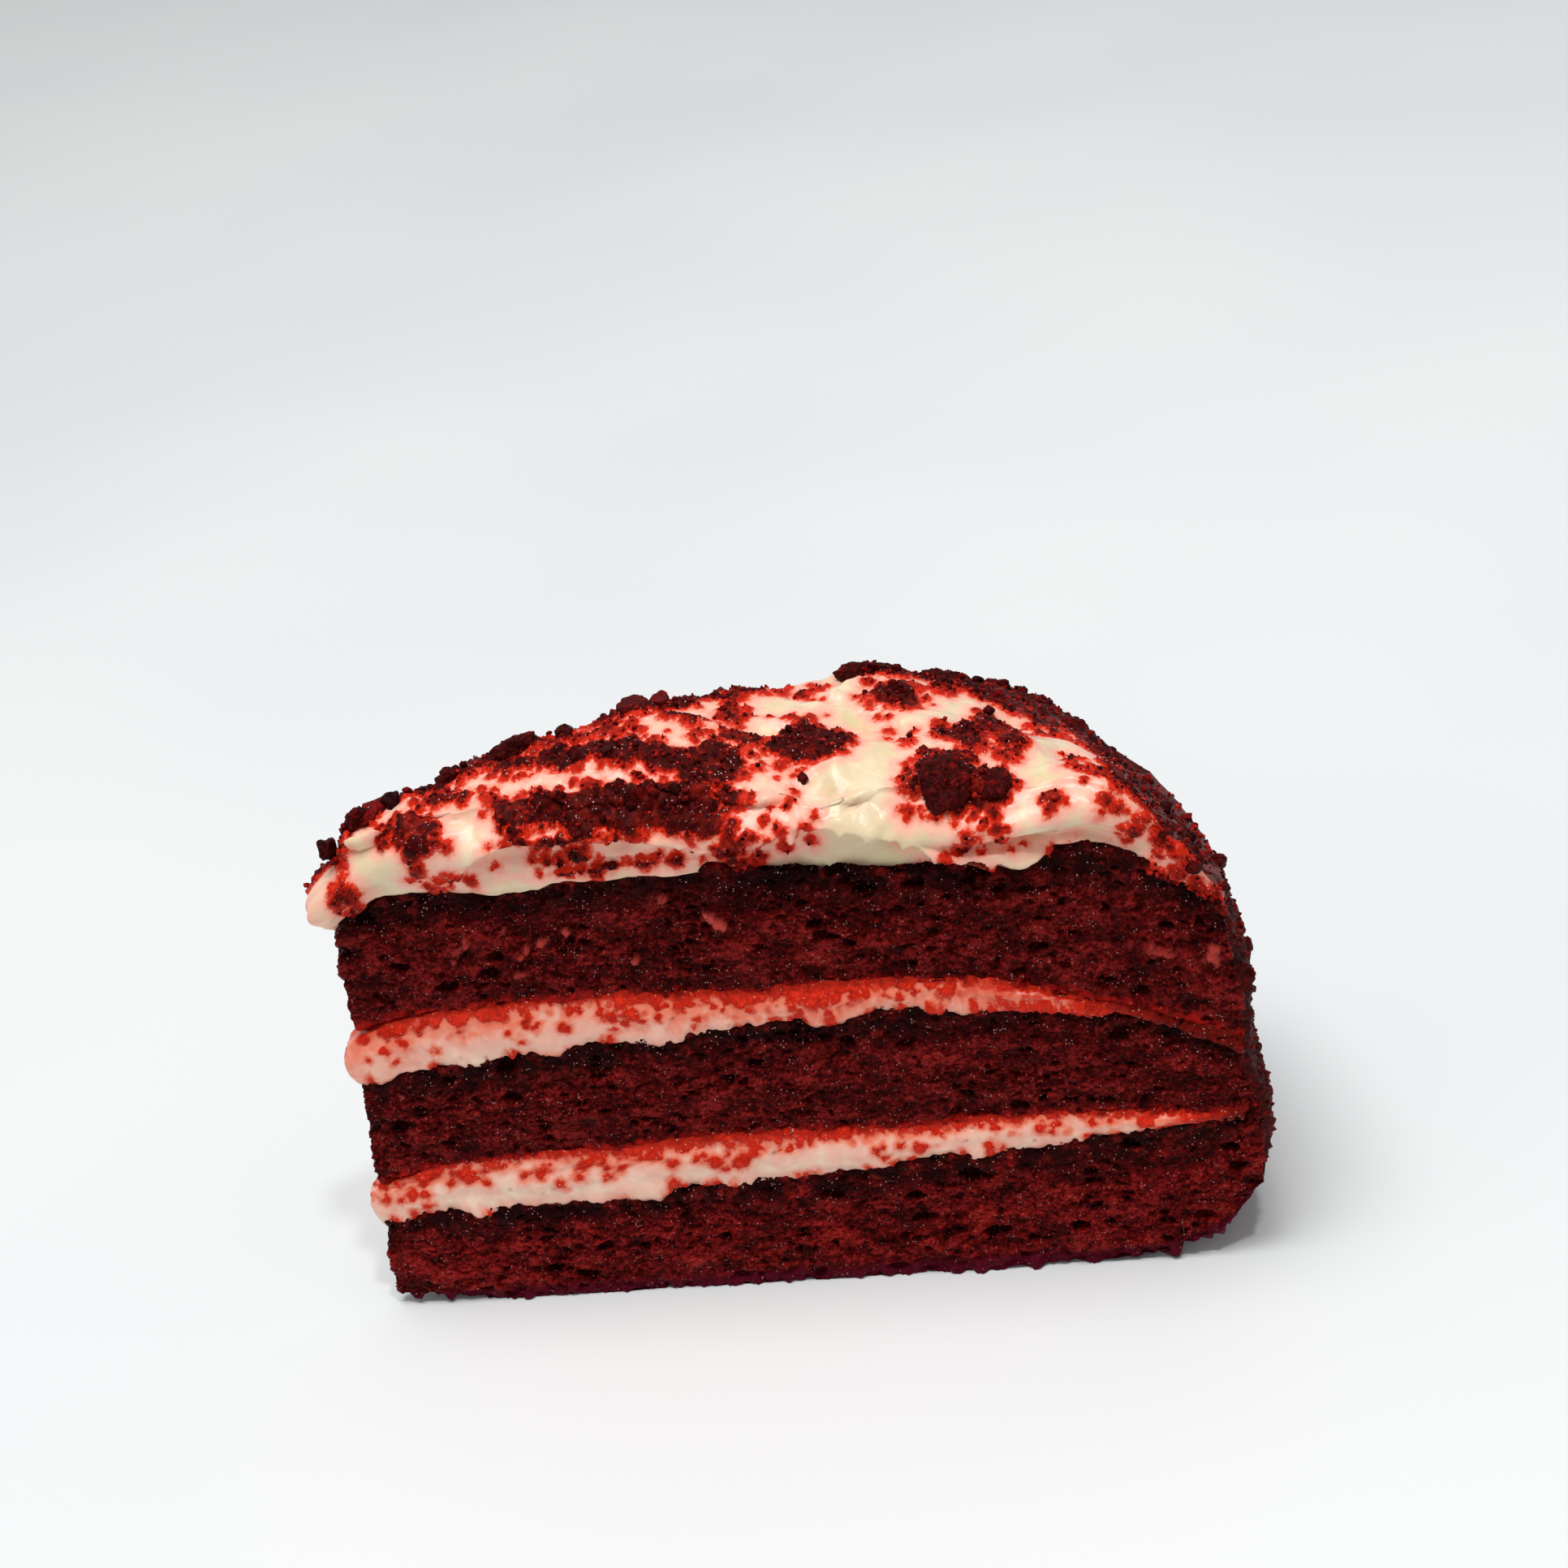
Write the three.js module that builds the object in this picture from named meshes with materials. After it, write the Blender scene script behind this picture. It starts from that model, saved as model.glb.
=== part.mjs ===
// One wedge cut from a round, three-layer red velvet cake: sponge, cream filling, sponge, cream filling,
// sponge and a thick cream frosting, with red cake crumbs packed on the outer rim and loose lumps on top.
// Millimetres, +Z up. +X runs along the near cut face from the wedge's point to the rim, and +Y runs away
// from that face. The origin is under the middle of the slice, on the surface that it rests on.
import * as THREE from "three";
import { mergeVertices } from "three/addons/utils/BufferGeometryUtils.js";

// ---------- Driving sizes ----------
const CAKE_RADIUS = 124; // from the crossing of the two knife cuts to the sponge's outer edge
const POINT_RADIUS = 6; // the wedge's point is blunt, and ends this far from the crossing
const SLICE_LENGTH = CAKE_RADIUS - POINT_RADIUS;
const WEDGE_ANGLE = THREE.MathUtils.degToRad(24); // one fifteenth of the round cake
const FAR_DROOP = 10; // the cake's top is this much lower at the rim's far corner than at its near one
const LAYER_GAP = 0.3; // clearance between neighbouring pieces
const POINT_LEAN = 6.5; // how far the point leans back from the base up to the top sponge
const POINT_FOOT = 2.5; // how far the point's foot stands out past POINT_RADIUS
const SPONGE_TOP = 65;
const SPONGE_BULGE = 0.35; // each sponge layer swells this far at its middle
const SPONGE_ROUGH = 0.35; // and its torn cut wanders this far in and out
const CREAM_PROUD = 0.5; // cream filling squeezed out past the sponge on the cut faces
const CREAM_POINT = 0.6; // cream filling stands this much further out at the point
const LIP = 2.8; // the frosting's torn lip hangs this far over the cut faces
const LIP_UNDERCUT = 0.7; // below the lip the frosting is scraped back this far
const LIP_ROUNDING = 2.4; // the top edge of the lip rolls back in by this much
const LOBE = 2.6; // the frosting hangs this far further out over the point, in a drooping lobe
const EDGE_DROP = 2.2; // the frosting's top is this much lower right at the cuts
const EDGE_WIDTH = 3.5; // and rises to its full height over about this distance
const COAT_GAP = 0.35; // clearance between the packed crumbs and what they stick to

// How finely the solids are divided.
const STEPS_ALONG = 26;
const STEPS_ACROSS = 8;
const COAT_STEPS = 16;

// ---------- Curves and unevenness ----------
const { clamp, lerp, smoothstep } = THREE.MathUtils;

// A smooth function through a few [place, value] pairs, level beyond its ends.
function profile(pairs) {
  const spline = new THREE.SplineCurve(pairs.map(([place, value]) => new THREE.Vector2(place, value)));
  const samples = spline.getPoints(pairs.length * 12);
  return (place) => {
    if (place <= samples[0].x) return samples[0].y;
    for (let i = 1; i < samples.length; i++) {
      const [a, b] = [samples[i - 1], samples[i]];
      if (place <= b.x) return lerp(a.y, b.y, (place - a.x) / Math.max(b.x - a.x, 1e-9));
    }
    return samples.at(-1).y;
  };
}

// A gentle, repeatable unevenness from -1 to 1 with waves of about the given length.
function unevenness(x, y, wave, seed) {
  const turn = (2 * Math.PI) / wave;
  const first = Math.sin(turn * x + seed * 1.7 + 1.3 * Math.sin(turn * 0.6 * y + seed));
  const second = Math.sin(turn * 1.31 * y - seed * 2.3 + 1.1 * Math.sin(turn * 0.47 * x - seed));
  const third = Math.sin(turn * 0.73 * (x + y) + seed * 0.9);
  return (first + second + third) / 3;
}

// ---------- The wedge in plan ----------
// A place in the wedge is (along, across): 0 to 1 from point to rim, and from the near to the far cut.
const radiusAt = (along) => lerp(POINT_RADIUS, CAKE_RADIUS, along);

function placeOf(x, y) {
  return {
    along: (Math.hypot(x, y) - POINT_RADIUS) / SLICE_LENGTH,
    across: Math.atan2(y, x) / WEDGE_ANGLE,
  };
}

// How far a point of the wedge is from the nearer cut face.
function depthFromCut(x, y) {
  const fromNear = y;
  const fromFar = x * Math.sin(WEDGE_ANGLE) - y * Math.cos(WEDGE_ANGLE);
  return Math.max(0, Math.min(fromNear, fromFar));
}

// The steps along the wedge crowd towards the rim, where the cake rounds off.
function alongStep(i) {
  const u = i / STEPS_ALONG;
  return 0.6 * u + 0.4 * Math.sin((u * Math.PI) / 2);
}

// The outer radius of the baked layers at a height: a soft bulge to each layer, and a notch between them.
const rimRadius = profile([
  [8, CAKE_RADIUS],
  [17, CAKE_RADIUS + 1.2],
  [24, CAKE_RADIUS + 1.3],
  [30, CAKE_RADIUS - 0.3],
  [37, CAKE_RADIUS + 0.6],
  [45, CAKE_RADIUS + 0.2],
  [53, CAKE_RADIUS - 1.2],
]);

// ---------- Heights of the faces between the layers ----------
// Each is a height over the table along the near cut, with its own slow unevenness across it. A face with a
// droop drops by that much more at the far corner of the rim.
function face(pairs, amount, wave, seed, droop = 0) {
  const height = profile(pairs);
  return (x, y) => {
    const { along, across } = placeOf(x, y);
    const calm = smoothstep(1 - along, 0, 0.25); // the layers run level into the rim
    const drop = droop * farShare(across) * smoothstep(along, 0.6, 1);
    return height(clamp(along, 0, 1)) - drop + amount * calm * unevenness(x, y, wave, seed);
  };
}

// How much a place takes after the far cut rather than the near one.
const farShare = (across) => Math.sin((clamp(across, 0, 1) * Math.PI) / 2);

// The lowest sponge lies flat, and its baked edge curls up off the table at the rim.
const CURL_START = 0.86;
const CURL_HEIGHT = 13;
const CURL_SHARPNESS = 2.2;

function underside(x, y) {
  const curl = Math.max(0, placeOf(x, y).along - CURL_START) / (1 - CURL_START);
  return CURL_HEIGHT * Math.pow(Math.min(1, curl), CURL_SHARPNESS);
}

const fillingLowerBottom = face(
  [[0, 15.2], [0.25, 16.2], [0.45, 17.2], [0.62, 19], [0.8, 20.8], [0.93, 22.3], [1, 22.5]],
  0.5, 31, 1);
const fillingLowerTop = face(
  [[0, 20.4], [0.08, 23.2], [0.2, 24], [0.4, 24.7], [0.74, 24.7], [0.9, 24], [1, 23.7]],
  0.4, 37, 2);
const fillingUpperBottom = face(
  [[0, 38.8], [0.16, 39.6], [0.4, 41.8], [0.64, 43.5], [0.72, 43.4], [0.85, 41], [0.92, 37.5], [1, 31.5]],
  0.5, 29, 3);
const fillingUpperTop = face(
  [[0, 44.4], [0.1, 47.4], [0.3, 48.6], [0.45, 47.9], [0.7, 46.9], [0.8, 44.2], [0.9, 40.2], [1, 34.2]],
  0.5, 33, 4);
const spongeTop = face(
  [[0, SPONGE_TOP - 4], [0.1, SPONGE_TOP + 0.8], [0.35, SPONGE_TOP + 1.8], [0.57, SPONGE_TOP],
    [0.68, SPONGE_TOP - 1.4], [0.83, SPONGE_TOP + 0.5], [0.9, SPONGE_TOP - 1.8], [0.96, 58.5], [1, 52.5]],
  0.5, 27, 5, FAR_DROOP);
// The frosting drops to the rim sooner along the far cut than along the near one.
const crestNear = profile(
  [[0, 73.4], [0.12, 76.6], [0.3, 79], [0.45, 77.6], [0.6, 75.6], [0.75, 75.6], [0.87, 74.8],
    [0.92, 70.4], [0.96, 62.2], [1, 54]]);
const crestFar = profile(
  [[0, 73.4], [0.12, 76.4], [0.3, 79.6], [0.45, 79.4], [0.6, 77], [0.7, 74], [0.8, 68.6], [0.88, 61.6],
    [0.95, 51.6], [1, 54 - FAR_DROOP]]);

// The frosting's top: spread with a knife in slow waves, falling off softly towards both cuts.
function frostingTop(x, y) {
  const { along, across } = placeOf(x, y);
  const place = clamp(along, 0, 1);
  const crest = lerp(crestNear(place), crestFar(place), farShare(across));
  const inland = smoothstep(0.95 - along, 0, 0.2); // 0 at the rim's shoulder, 1 away from it
  const waves = 0.9 * unevenness(x, y, 34, 6) + 0.5 * unevenness(x, y, 15, 7);
  const roundedEdge = EDGE_DROP * Math.exp(-depthFromCut(x, y) / EDGE_WIDTH);
  return crest + inland * (waves - roundedEdge);
}

// ---------- One layer of the slice ----------
// How far each side of a layer stands out at a height: near and far cut, point and rim. A layer's seed sets
// its unevenness, and up runs from 0 at its foot to 1 at its top.
const pointOut = (height) => POINT_FOOT - (POINT_LEAN * height) / SPONGE_TOP;
const rimOut = (height) => rimRadius(height) - CAKE_RADIUS;

function spongeSides(seed) {
  return (up, along, height) => {
    const bulge = SPONGE_BULGE * Math.sin(Math.PI * up);
    const x = along * SLICE_LENGTH;
    return {
      near: bulge + SPONGE_ROUGH * unevenness(x, height, 13, seed),
      far: bulge + SPONGE_ROUGH * unevenness(x, height, 17, seed + 3),
      point: pointOut(height) + bulge,
      rim: rimOut(height),
    };
  };
}

function fillingSides(seed) {
  return (up, along, height) => {
    const belly = CREAM_PROUD * Math.sin(Math.PI * up);
    const x = along * SLICE_LENGTH;
    return {
      near: belly * (1 + 0.8 * unevenness(x, 0, 21, seed)),
      far: belly * (1 + 0.8 * unevenness(x, 0, 25, seed + 3)),
      point: pointOut(height) + 2.5 * belly + CREAM_POINT,
      rim: rimOut(height),
    };
  };
}

// The lip of the frosting: level with the cut at its foot, scraped back, then out and rolled in.
const lipShape = profile(
  [[0, 0], [0.16, -LIP_UNDERCUT], [0.3, -0.1], [0.42, 0.8 * LIP], [0.55, LIP], [0.8, 0.55 * LIP],
    [1, -LIP_ROUNDING]]);

function frostingSides(seed) {
  return (up, along, height) => {
    const reach = smoothstep(0.97 - along, 0, 0.12) * lerp(0.55, 1, smoothstep(along, 0.02, 0.2));
    const x = along * SLICE_LENGTH;
    const lip = lipShape(up) * reach * (1 + 0.3 * unevenness(x, 0, 23, seed));
    const lobe = 1.4 + LOBE * Math.exp(-Math.pow(up / 0.2, 2));
    return {
      near: lip,
      far: lip * (0.8 + 0.3 * unevenness(x, 9, 19, seed + 1)),
      point: pointOut(SPONGE_TOP) + 0.6 * lipShape(up) + lobe,
      rim: rimOut(height),
    };
  };
}

// Where a place of the wedge lies once the four sides have moved out or in.
const NARROW = 12; // where the wedge is narrower than this, its cuts move in less than elsewhere

function spread(along, across, sides) {
  const radius = lerp(POINT_RADIUS - sides.point, CAKE_RADIUS + sides.rim, along);
  const angle = across * WEDGE_ANGLE;
  const roomy = Math.min(1, (radius * WEDGE_ANGLE) / NARROW);
  const inward = (push) => (push < 0 ? push * roomy : push);
  const x = radius * Math.cos(angle) - inward(sides.far) * Math.sin(WEDGE_ANGLE) * across;
  const y =
    radius * Math.sin(angle) +
    inward(sides.far) * Math.cos(WEDGE_ANGLE) * across -
    inward(sides.near) * (1 - across);
  return [x, y];
}

// The loop of places round the edge of the wedge, counter-clockwise from the near end of the point.
function edgeLoop() {
  const loop = [];
  for (let i = 0; i < STEPS_ALONG; i++) loop.push([i, 0]);
  for (let j = 0; j < STEPS_ACROSS; j++) loop.push([STEPS_ALONG, j]);
  for (let i = STEPS_ALONG; i > 0; i--) loop.push([i, STEPS_ACROSS]);
  for (let j = STEPS_ACROSS; j > 0; j--) loop.push([0, j]);
  return loop;
}

// A closed solid from a lower and an upper sheet, each STEPS_ALONG by STEPS_ACROSS, and rows round its wall.
function layerGeometry({ bottom, top, bottomGap, topGap, sidesAt, wallRows }) {
  const positions = [];
  const faces = [];
  const low = (x, y) => bottom(x, y) + bottomGap;
  const high = (x, y) => top(x, y) - topGap;

  // A point at a share of the layer's thickness: the sides are asked at its height, which hardly moves.
  const pointAt = (i, j, up) => {
    const along = alongStep(i);
    const across = j / STEPS_ACROSS;
    const heightAt = ([x, y]) => lerp(low(x, y), high(x, y), up);
    const rough = heightAt(spread(along, across, { near: 0, far: 0, point: 0, rim: 0 }));
    const place = spread(along, across, sidesAt(up, along, rough));
    positions.push(...place, heightAt(place));
    return positions.length / 3 - 1;
  };

  const sheet = (up) =>
    Array.from({ length: STEPS_ALONG + 1 }, (_, i) =>
      Array.from({ length: STEPS_ACROSS + 1 }, (_, j) => pointAt(i, j, up)));
  const lower = sheet(0);
  const upper = sheet(1);
  for (let i = 0; i < STEPS_ALONG; i++) {
    for (let j = 0; j < STEPS_ACROSS; j++) {
      const cell = (s) => [s[i][j], s[i + 1][j], s[i + 1][j + 1], s[i][j + 1]];
      const [a, b, c, d] = cell(upper);
      faces.push(a, b, c, a, c, d);
      const [e, f, g, h] = cell(lower);
      faces.push(e, g, f, e, h, g);
    }
  }

  const loop = edgeLoop();
  const rows = Array.from({ length: wallRows + 1 }, (_, k) => {
    if (k === 0) return loop.map(([i, j]) => lower[i][j]);
    if (k === wallRows) return loop.map(([i, j]) => upper[i][j]);
    return loop.map(([i, j]) => pointAt(i, j, k / wallRows));
  });
  for (let k = 0; k < wallRows; k++) {
    for (let n = 0; n < loop.length; n++) {
      const next = (n + 1) % loop.length;
      const [a, b, c, d] = [rows[k][n], rows[k][next], rows[k + 1][next], rows[k + 1][n]];
      faces.push(a, b, c, a, c, d);
    }
  }
  return closedGeometry(positions, faces);
}

function closedGeometry(positions, faces) {
  const geometry = new THREE.BufferGeometry();
  geometry.setAttribute("position", new THREE.Float32BufferAttribute(positions, 3));
  geometry.setIndex(faces);
  geometry.computeVertexNormals();
  return geometry;
}

// ---------- Crumbs packed on the rim ----------
// The coat climbs the rim and folds over the frosting's shoulder, along a line of (radius, height).
const COAT_FOOT = 12;
const COAT_SHOULDER = 53.5; // where the rim turns into the frosting's shoulder
const COAT_INNER_EDGE = 0.885; // how far along the wedge the coat's upper edge reaches in
const COAT_CLIMB = 0.62; // the share of the coat that climbs the rim, before the shoulder
const COAT_FAR_SHARE = 0.6; // the coat is this much thinner at the far cut

const coatThickness = profile(
  [[0, 0.7], [0.1, 1.3], [0.4, 1.5], [0.6, 1.7], [0.75, 2], [0.92, 1.6], [1, 0.7]]);

function coatLine(v, across) {
  const angle = across * WEDGE_ANGLE;
  const shoulder = COAT_SHOULDER - FAR_DROOP * farShare(across);
  if (v <= COAT_CLIMB) {
    const height = lerp(COAT_FOOT, shoulder, v / COAT_CLIMB);
    return new THREE.Vector2(rimRadius(height) + COAT_GAP, height);
  }
  const along = lerp(1, COAT_INNER_EDGE, (v - COAT_CLIMB) / (1 - COAT_CLIMB));
  const radius = lerp(POINT_RADIUS, rimRadius(shoulder), along);
  const height = frostingTop(radius * Math.cos(angle), radius * Math.sin(angle));
  return new THREE.Vector2(radius + COAT_GAP, height + COAT_GAP);
}

function coatGeometry() {
  const positions = [];
  const faces = [];
  const angleAt = (j) => (j / STEPS_ACROSS) * WEDGE_ANGLE;
  const put = ({ x: radius, y: height }, j) => {
    positions.push(radius * Math.cos(angleAt(j)), radius * Math.sin(angleAt(j)), height);
    return positions.length / 3 - 1;
  };
  const steps = Array.from({ length: COAT_STEPS + 1 }, (_, i) => i / COAT_STEPS);
  const columns = Array.from({ length: STEPS_ACROSS + 1 }, (_, j) => j);
  const inner = steps.map((v) => columns.map((j) => put(coatLine(v, j / STEPS_ACROSS), j)));
  const outer = steps.map((v) =>
    columns.map((j) => {
      const across = j / STEPS_ACROSS;
      const here = coatLine(v, across);
      const way = coatLine(v + 0.02, across).sub(coatLine(v - 0.02, across)).normalize();
      const bumps = 1 + 0.25 * unevenness(v * 60, across * 60, 9, 8);
      const thickness = coatThickness(v) * bumps * lerp(1, COAT_FAR_SHARE, farShare(across));
      const out = new THREE.Vector2(way.y, -way.x).multiplyScalar(thickness);
      return put(here.add(out), j);
    }));
  const quad = (a, b, c, d) => faces.push(a, b, c, a, c, d);
  for (let i = 0; i < COAT_STEPS; i++) {
    for (let j = 0; j < STEPS_ACROSS; j++) {
      quad(outer[i][j], outer[i][j + 1], outer[i + 1][j + 1], outer[i + 1][j]);
      quad(inner[i][j], inner[i + 1][j], inner[i + 1][j + 1], inner[i][j + 1]);
    }
    quad(outer[i][0], outer[i + 1][0], inner[i + 1][0], inner[i][0]);
    const j = STEPS_ACROSS;
    quad(outer[i][j], inner[i][j], inner[i + 1][j], outer[i + 1][j]);
  }
  for (let j = 0; j < STEPS_ACROSS; j++) {
    const i = COAT_STEPS;
    quad(outer[0][j], inner[0][j], inner[0][j + 1], outer[0][j + 1]);
    quad(outer[i][j], outer[i][j + 1], inner[i][j + 1], inner[i][j]);
  }
  return closedGeometry(positions, faces);
}

// ---------- Loose lumps of crumb on the frosting ----------
// Each lump: its place along and across the wedge, its length, width and height, and the turn of its length.
const LUMPS = [
  { along: 0.725, across: 0.035, size: [7.4, 7.2, 4.6], turn: 20 },
  { along: 0.775, across: 0.03, size: [5, 4.2, 2.6], turn: 60 },
  { along: 0.67, across: 0.92, size: [10, 4.6, 3.6], turn: 24 },
  { along: 0.76, across: 0.92, size: [8, 4.4, 3.2], turn: 32 },
  { along: 0.26, across: 0.84, size: [7.6, 4.6, 3.8], turn: 25 },
  { along: 0.075, across: 0.6, size: [4.8, 3.2, 3], turn: 30 },
];
const LUMP_SUNK = 0.25; // this share of a lump's height is sunk away, so that it sits flat
const LUMP_KNOBS = 0.16; // its knobs stand out by this share of its size
const UP = new THREE.Vector3(0, 0, 1);
const ABOVE_ALL = 200;

// A knobbly pebble that sits on the surface below it, with its underside following that surface.
function lumpGeometry({ along, across, size, turn }, index, ground) {
  const angle = across * WEDGE_ANGLE;
  const centre = new THREE.Vector2(radiusAt(along) * Math.cos(angle), radiusAt(along) * Math.sin(angle));
  const sphere = new THREE.IcosahedronGeometry(0.5, 2);
  sphere.deleteAttribute("normal");
  sphere.deleteAttribute("uv");
  const pebble = mergeVertices(sphere);
  const place = pebble.getAttribute("position");
  const point = new THREE.Vector3();
  const ray = new THREE.Raycaster();
  const lift = size[2] * (0.5 - LUMP_SUNK);
  for (let i = 0; i < place.count; i++) {
    point.fromBufferAttribute(place, i);
    const knob = 1 + LUMP_KNOBS * unevenness(point.x * 9 + index * 3, point.y * 9 + point.z * 7, 5, index);
    point.multiplyScalar(knob).multiply(new THREE.Vector3(...size));
    point.applyAxisAngle(UP, THREE.MathUtils.degToRad(turn));
    const x = centre.x + point.x;
    const y = centre.y + point.y;
    ray.set(new THREE.Vector3(x, y, ABOVE_ALL), UP.clone().negate());
    const floor = ray.intersectObject(ground)[0].point.z + LAYER_GAP;
    const skirt = point.z > 0 ? 0.2 : 0; // keeps the lump's flat underside apart from its back
    place.setXYZ(i, x, y, floor + Math.max(0, point.z + lift) + skirt);
  }
  pebble.computeVertexNormals();
  return pebble;
}

// ---------- Materials ----------
const spongeRed = new THREE.MeshStandardMaterial({ color: 0x4e0d0e, roughness: 0.85, metalness: 0 });
const cream = new THREE.MeshStandardMaterial({ color: 0xf0dcc0, roughness: 0.45, metalness: 0 });
const frostingCream = new THREE.MeshStandardMaterial({ color: 0xf3e3c4, roughness: 0.4, metalness: 0 });
const crumbRed = new THREE.MeshStandardMaterial({ color: 0x5a0c0e, roughness: 0.9, metalness: 0 });

// ---------- The slice ----------
function piece(name, geometry, material) {
  const mesh = new THREE.Mesh(geometry, material);
  mesh.name = name;
  return mesh;
}

const HALF_GAP = LAYER_GAP / 2;
const layers = [
  { name: "sponge_bottom", bottom: underside, top: fillingLowerBottom, bottomGap: 0,
    sidesAt: spongeSides(11), wallRows: 3, material: spongeRed },
  { name: "filling_lower", bottom: fillingLowerBottom, top: fillingLowerTop,
    sidesAt: fillingSides(12), wallRows: 2, material: cream },
  { name: "sponge_middle", bottom: fillingLowerTop, top: fillingUpperBottom,
    sidesAt: spongeSides(13), wallRows: 3, material: spongeRed },
  { name: "filling_upper", bottom: fillingUpperBottom, top: fillingUpperTop,
    sidesAt: fillingSides(14), wallRows: 2, material: cream },
  { name: "sponge_top", bottom: fillingUpperTop, top: spongeTop,
    sidesAt: spongeSides(15), wallRows: 3, material: spongeRed },
  { name: "frosting", bottom: spongeTop, top: frostingTop, topGap: 0,
    sidesAt: frostingSides(16), wallRows: 7, material: frostingCream },
];

const slice = new THREE.Group();
for (const { name, material, ...shape } of layers) {
  slice.add(piece(name, layerGeometry({ bottomGap: HALF_GAP, topGap: HALF_GAP, ...shape }), material));
}
slice.add(piece("crumb_coat", coatGeometry(), crumbRed));

const frosting = slice.getObjectByName("frosting");
LUMPS.forEach((lump, index) => {
  slice.add(piece(`crumb_lump_${index + 1}`, lumpGeometry(lump, index, frosting), crumbRed));
});

// Centre the slice over the origin, standing on z = 0.
const extent = new THREE.Box3().setFromObject(slice);
const middle = extent.getCenter(new THREE.Vector3());
slice.position.set(-middle.x, -middle.y, -extent.min.z);

const model = new THREE.Group();
model.add(slice);
export default model;
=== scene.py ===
"""A slice of red velvet cake in close detail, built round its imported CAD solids.

Every shape starts from the CAD nodes: rays cast at a node give its wall and its upper and lower faces, and a
fine grid laid over those gets the crumb, pores, smears and loose crumbs of the real thing. Lengths are in
millimetres until a mesh is made. +X runs along the near cut, from the slice's point to its rim.
"""
import itertools
import math

import bmesh
import bpy
import numpy as np
from mathutils import Matrix, Vector
from mathutils.bvhtree import BVHTree
from mathutils.kdtree import KDTree


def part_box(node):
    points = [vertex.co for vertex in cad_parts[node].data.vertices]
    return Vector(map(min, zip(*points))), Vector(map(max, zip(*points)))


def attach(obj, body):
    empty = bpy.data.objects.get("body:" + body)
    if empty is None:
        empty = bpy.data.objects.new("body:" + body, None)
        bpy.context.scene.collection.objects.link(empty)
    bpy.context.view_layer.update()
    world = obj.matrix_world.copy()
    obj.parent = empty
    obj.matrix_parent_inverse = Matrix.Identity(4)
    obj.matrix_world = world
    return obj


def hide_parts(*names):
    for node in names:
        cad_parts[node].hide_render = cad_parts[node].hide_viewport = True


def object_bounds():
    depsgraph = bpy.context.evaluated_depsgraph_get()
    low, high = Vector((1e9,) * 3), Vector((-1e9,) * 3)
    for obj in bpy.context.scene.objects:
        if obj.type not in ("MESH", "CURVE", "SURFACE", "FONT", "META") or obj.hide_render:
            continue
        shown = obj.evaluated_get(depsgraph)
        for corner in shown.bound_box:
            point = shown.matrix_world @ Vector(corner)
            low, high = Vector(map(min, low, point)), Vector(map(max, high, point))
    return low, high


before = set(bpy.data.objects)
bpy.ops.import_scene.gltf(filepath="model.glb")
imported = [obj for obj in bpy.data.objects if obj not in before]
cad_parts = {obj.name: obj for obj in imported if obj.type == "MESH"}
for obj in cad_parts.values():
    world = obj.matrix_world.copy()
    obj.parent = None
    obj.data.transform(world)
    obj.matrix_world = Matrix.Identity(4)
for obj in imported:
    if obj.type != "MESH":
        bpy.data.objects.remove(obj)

MM = 0.001
CAD_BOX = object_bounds()
UP = np.array((0.0, 0.0, 1.0))
BITS_32, BITS_24 = 0xFFFFFFFF, 0xFFFFFF
rng = np.random.default_rng(24)


# ---------- Numbers on arrays ----------
def unit(vectors):
    """Vectors of length 1."""
    return vectors / np.maximum(np.linalg.norm(vectors, axis=-1, keepdims=True), 1e-9)


def lerp(a, b, share):
    return a + (b - a) * share


def step(values, low, high):
    """0 below low, 1 above high, and a smooth rise in between."""
    t = np.clip((values - low) / (high - low), 0, 1)
    return t * t * (3 - 2 * t)


def fade(values, low, high):
    """1 below low, 0 above high, and a smooth fall in between."""
    return step(-values, -high, -low)


def bell(values, middle, width):
    """1 at the middle, falling off smoothly on both sides."""
    return np.exp(-(((values - middle) / width) ** 2))


def hashed(cells, seed):
    """A repeatable random number from 0 to 1 for each row of three whole numbers, whose bits it stirs."""
    x, y, z = np.moveaxis(cells, -1, 0)
    h = (x * 374761393 + y * 668265263 + z * 974634777 + seed * 69069) & BITS_32
    h = ((h ^ (h >> 13)) * 1274126177) & BITS_32
    h = ((h ^ (h >> 16)) * 461845907) & BITS_32
    h = h ^ (h >> 15)
    return (h & BITS_24) / float(BITS_24 + 1)


def noise(points, size, seed):
    """Smooth noise from -1 to 1, with lumps of about the given size."""
    place = points / size + seed * 7.31
    base = np.floor(place).astype(np.int64)
    t = place - base
    t = t * t * (3 - 2 * t)
    total = 0
    for corner in itertools.product((0, 1), repeat=3):
        weight = np.prod(np.where(corner, t, 1 - t), axis=-1)
        total = total + weight * hashed(base + corner, seed)
    return 2 * total - 1


def fractal(points, size, octaves, seed):
    """Noise in several sizes, each half as large and half as strong as the one before."""
    layers = [noise(points, size / 2**k, seed + k) / 2**k for k in range(octaves)]
    return sum(layers) / (2 - 2.0 ** (1 - octaves))


def wander(points, size, amount, seed):
    """Points shifted about, so that shapes made from them lose their regular outlines."""
    return points + amount * np.stack([noise(points, size, seed + k) for k in range(3)], axis=-1)


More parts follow.
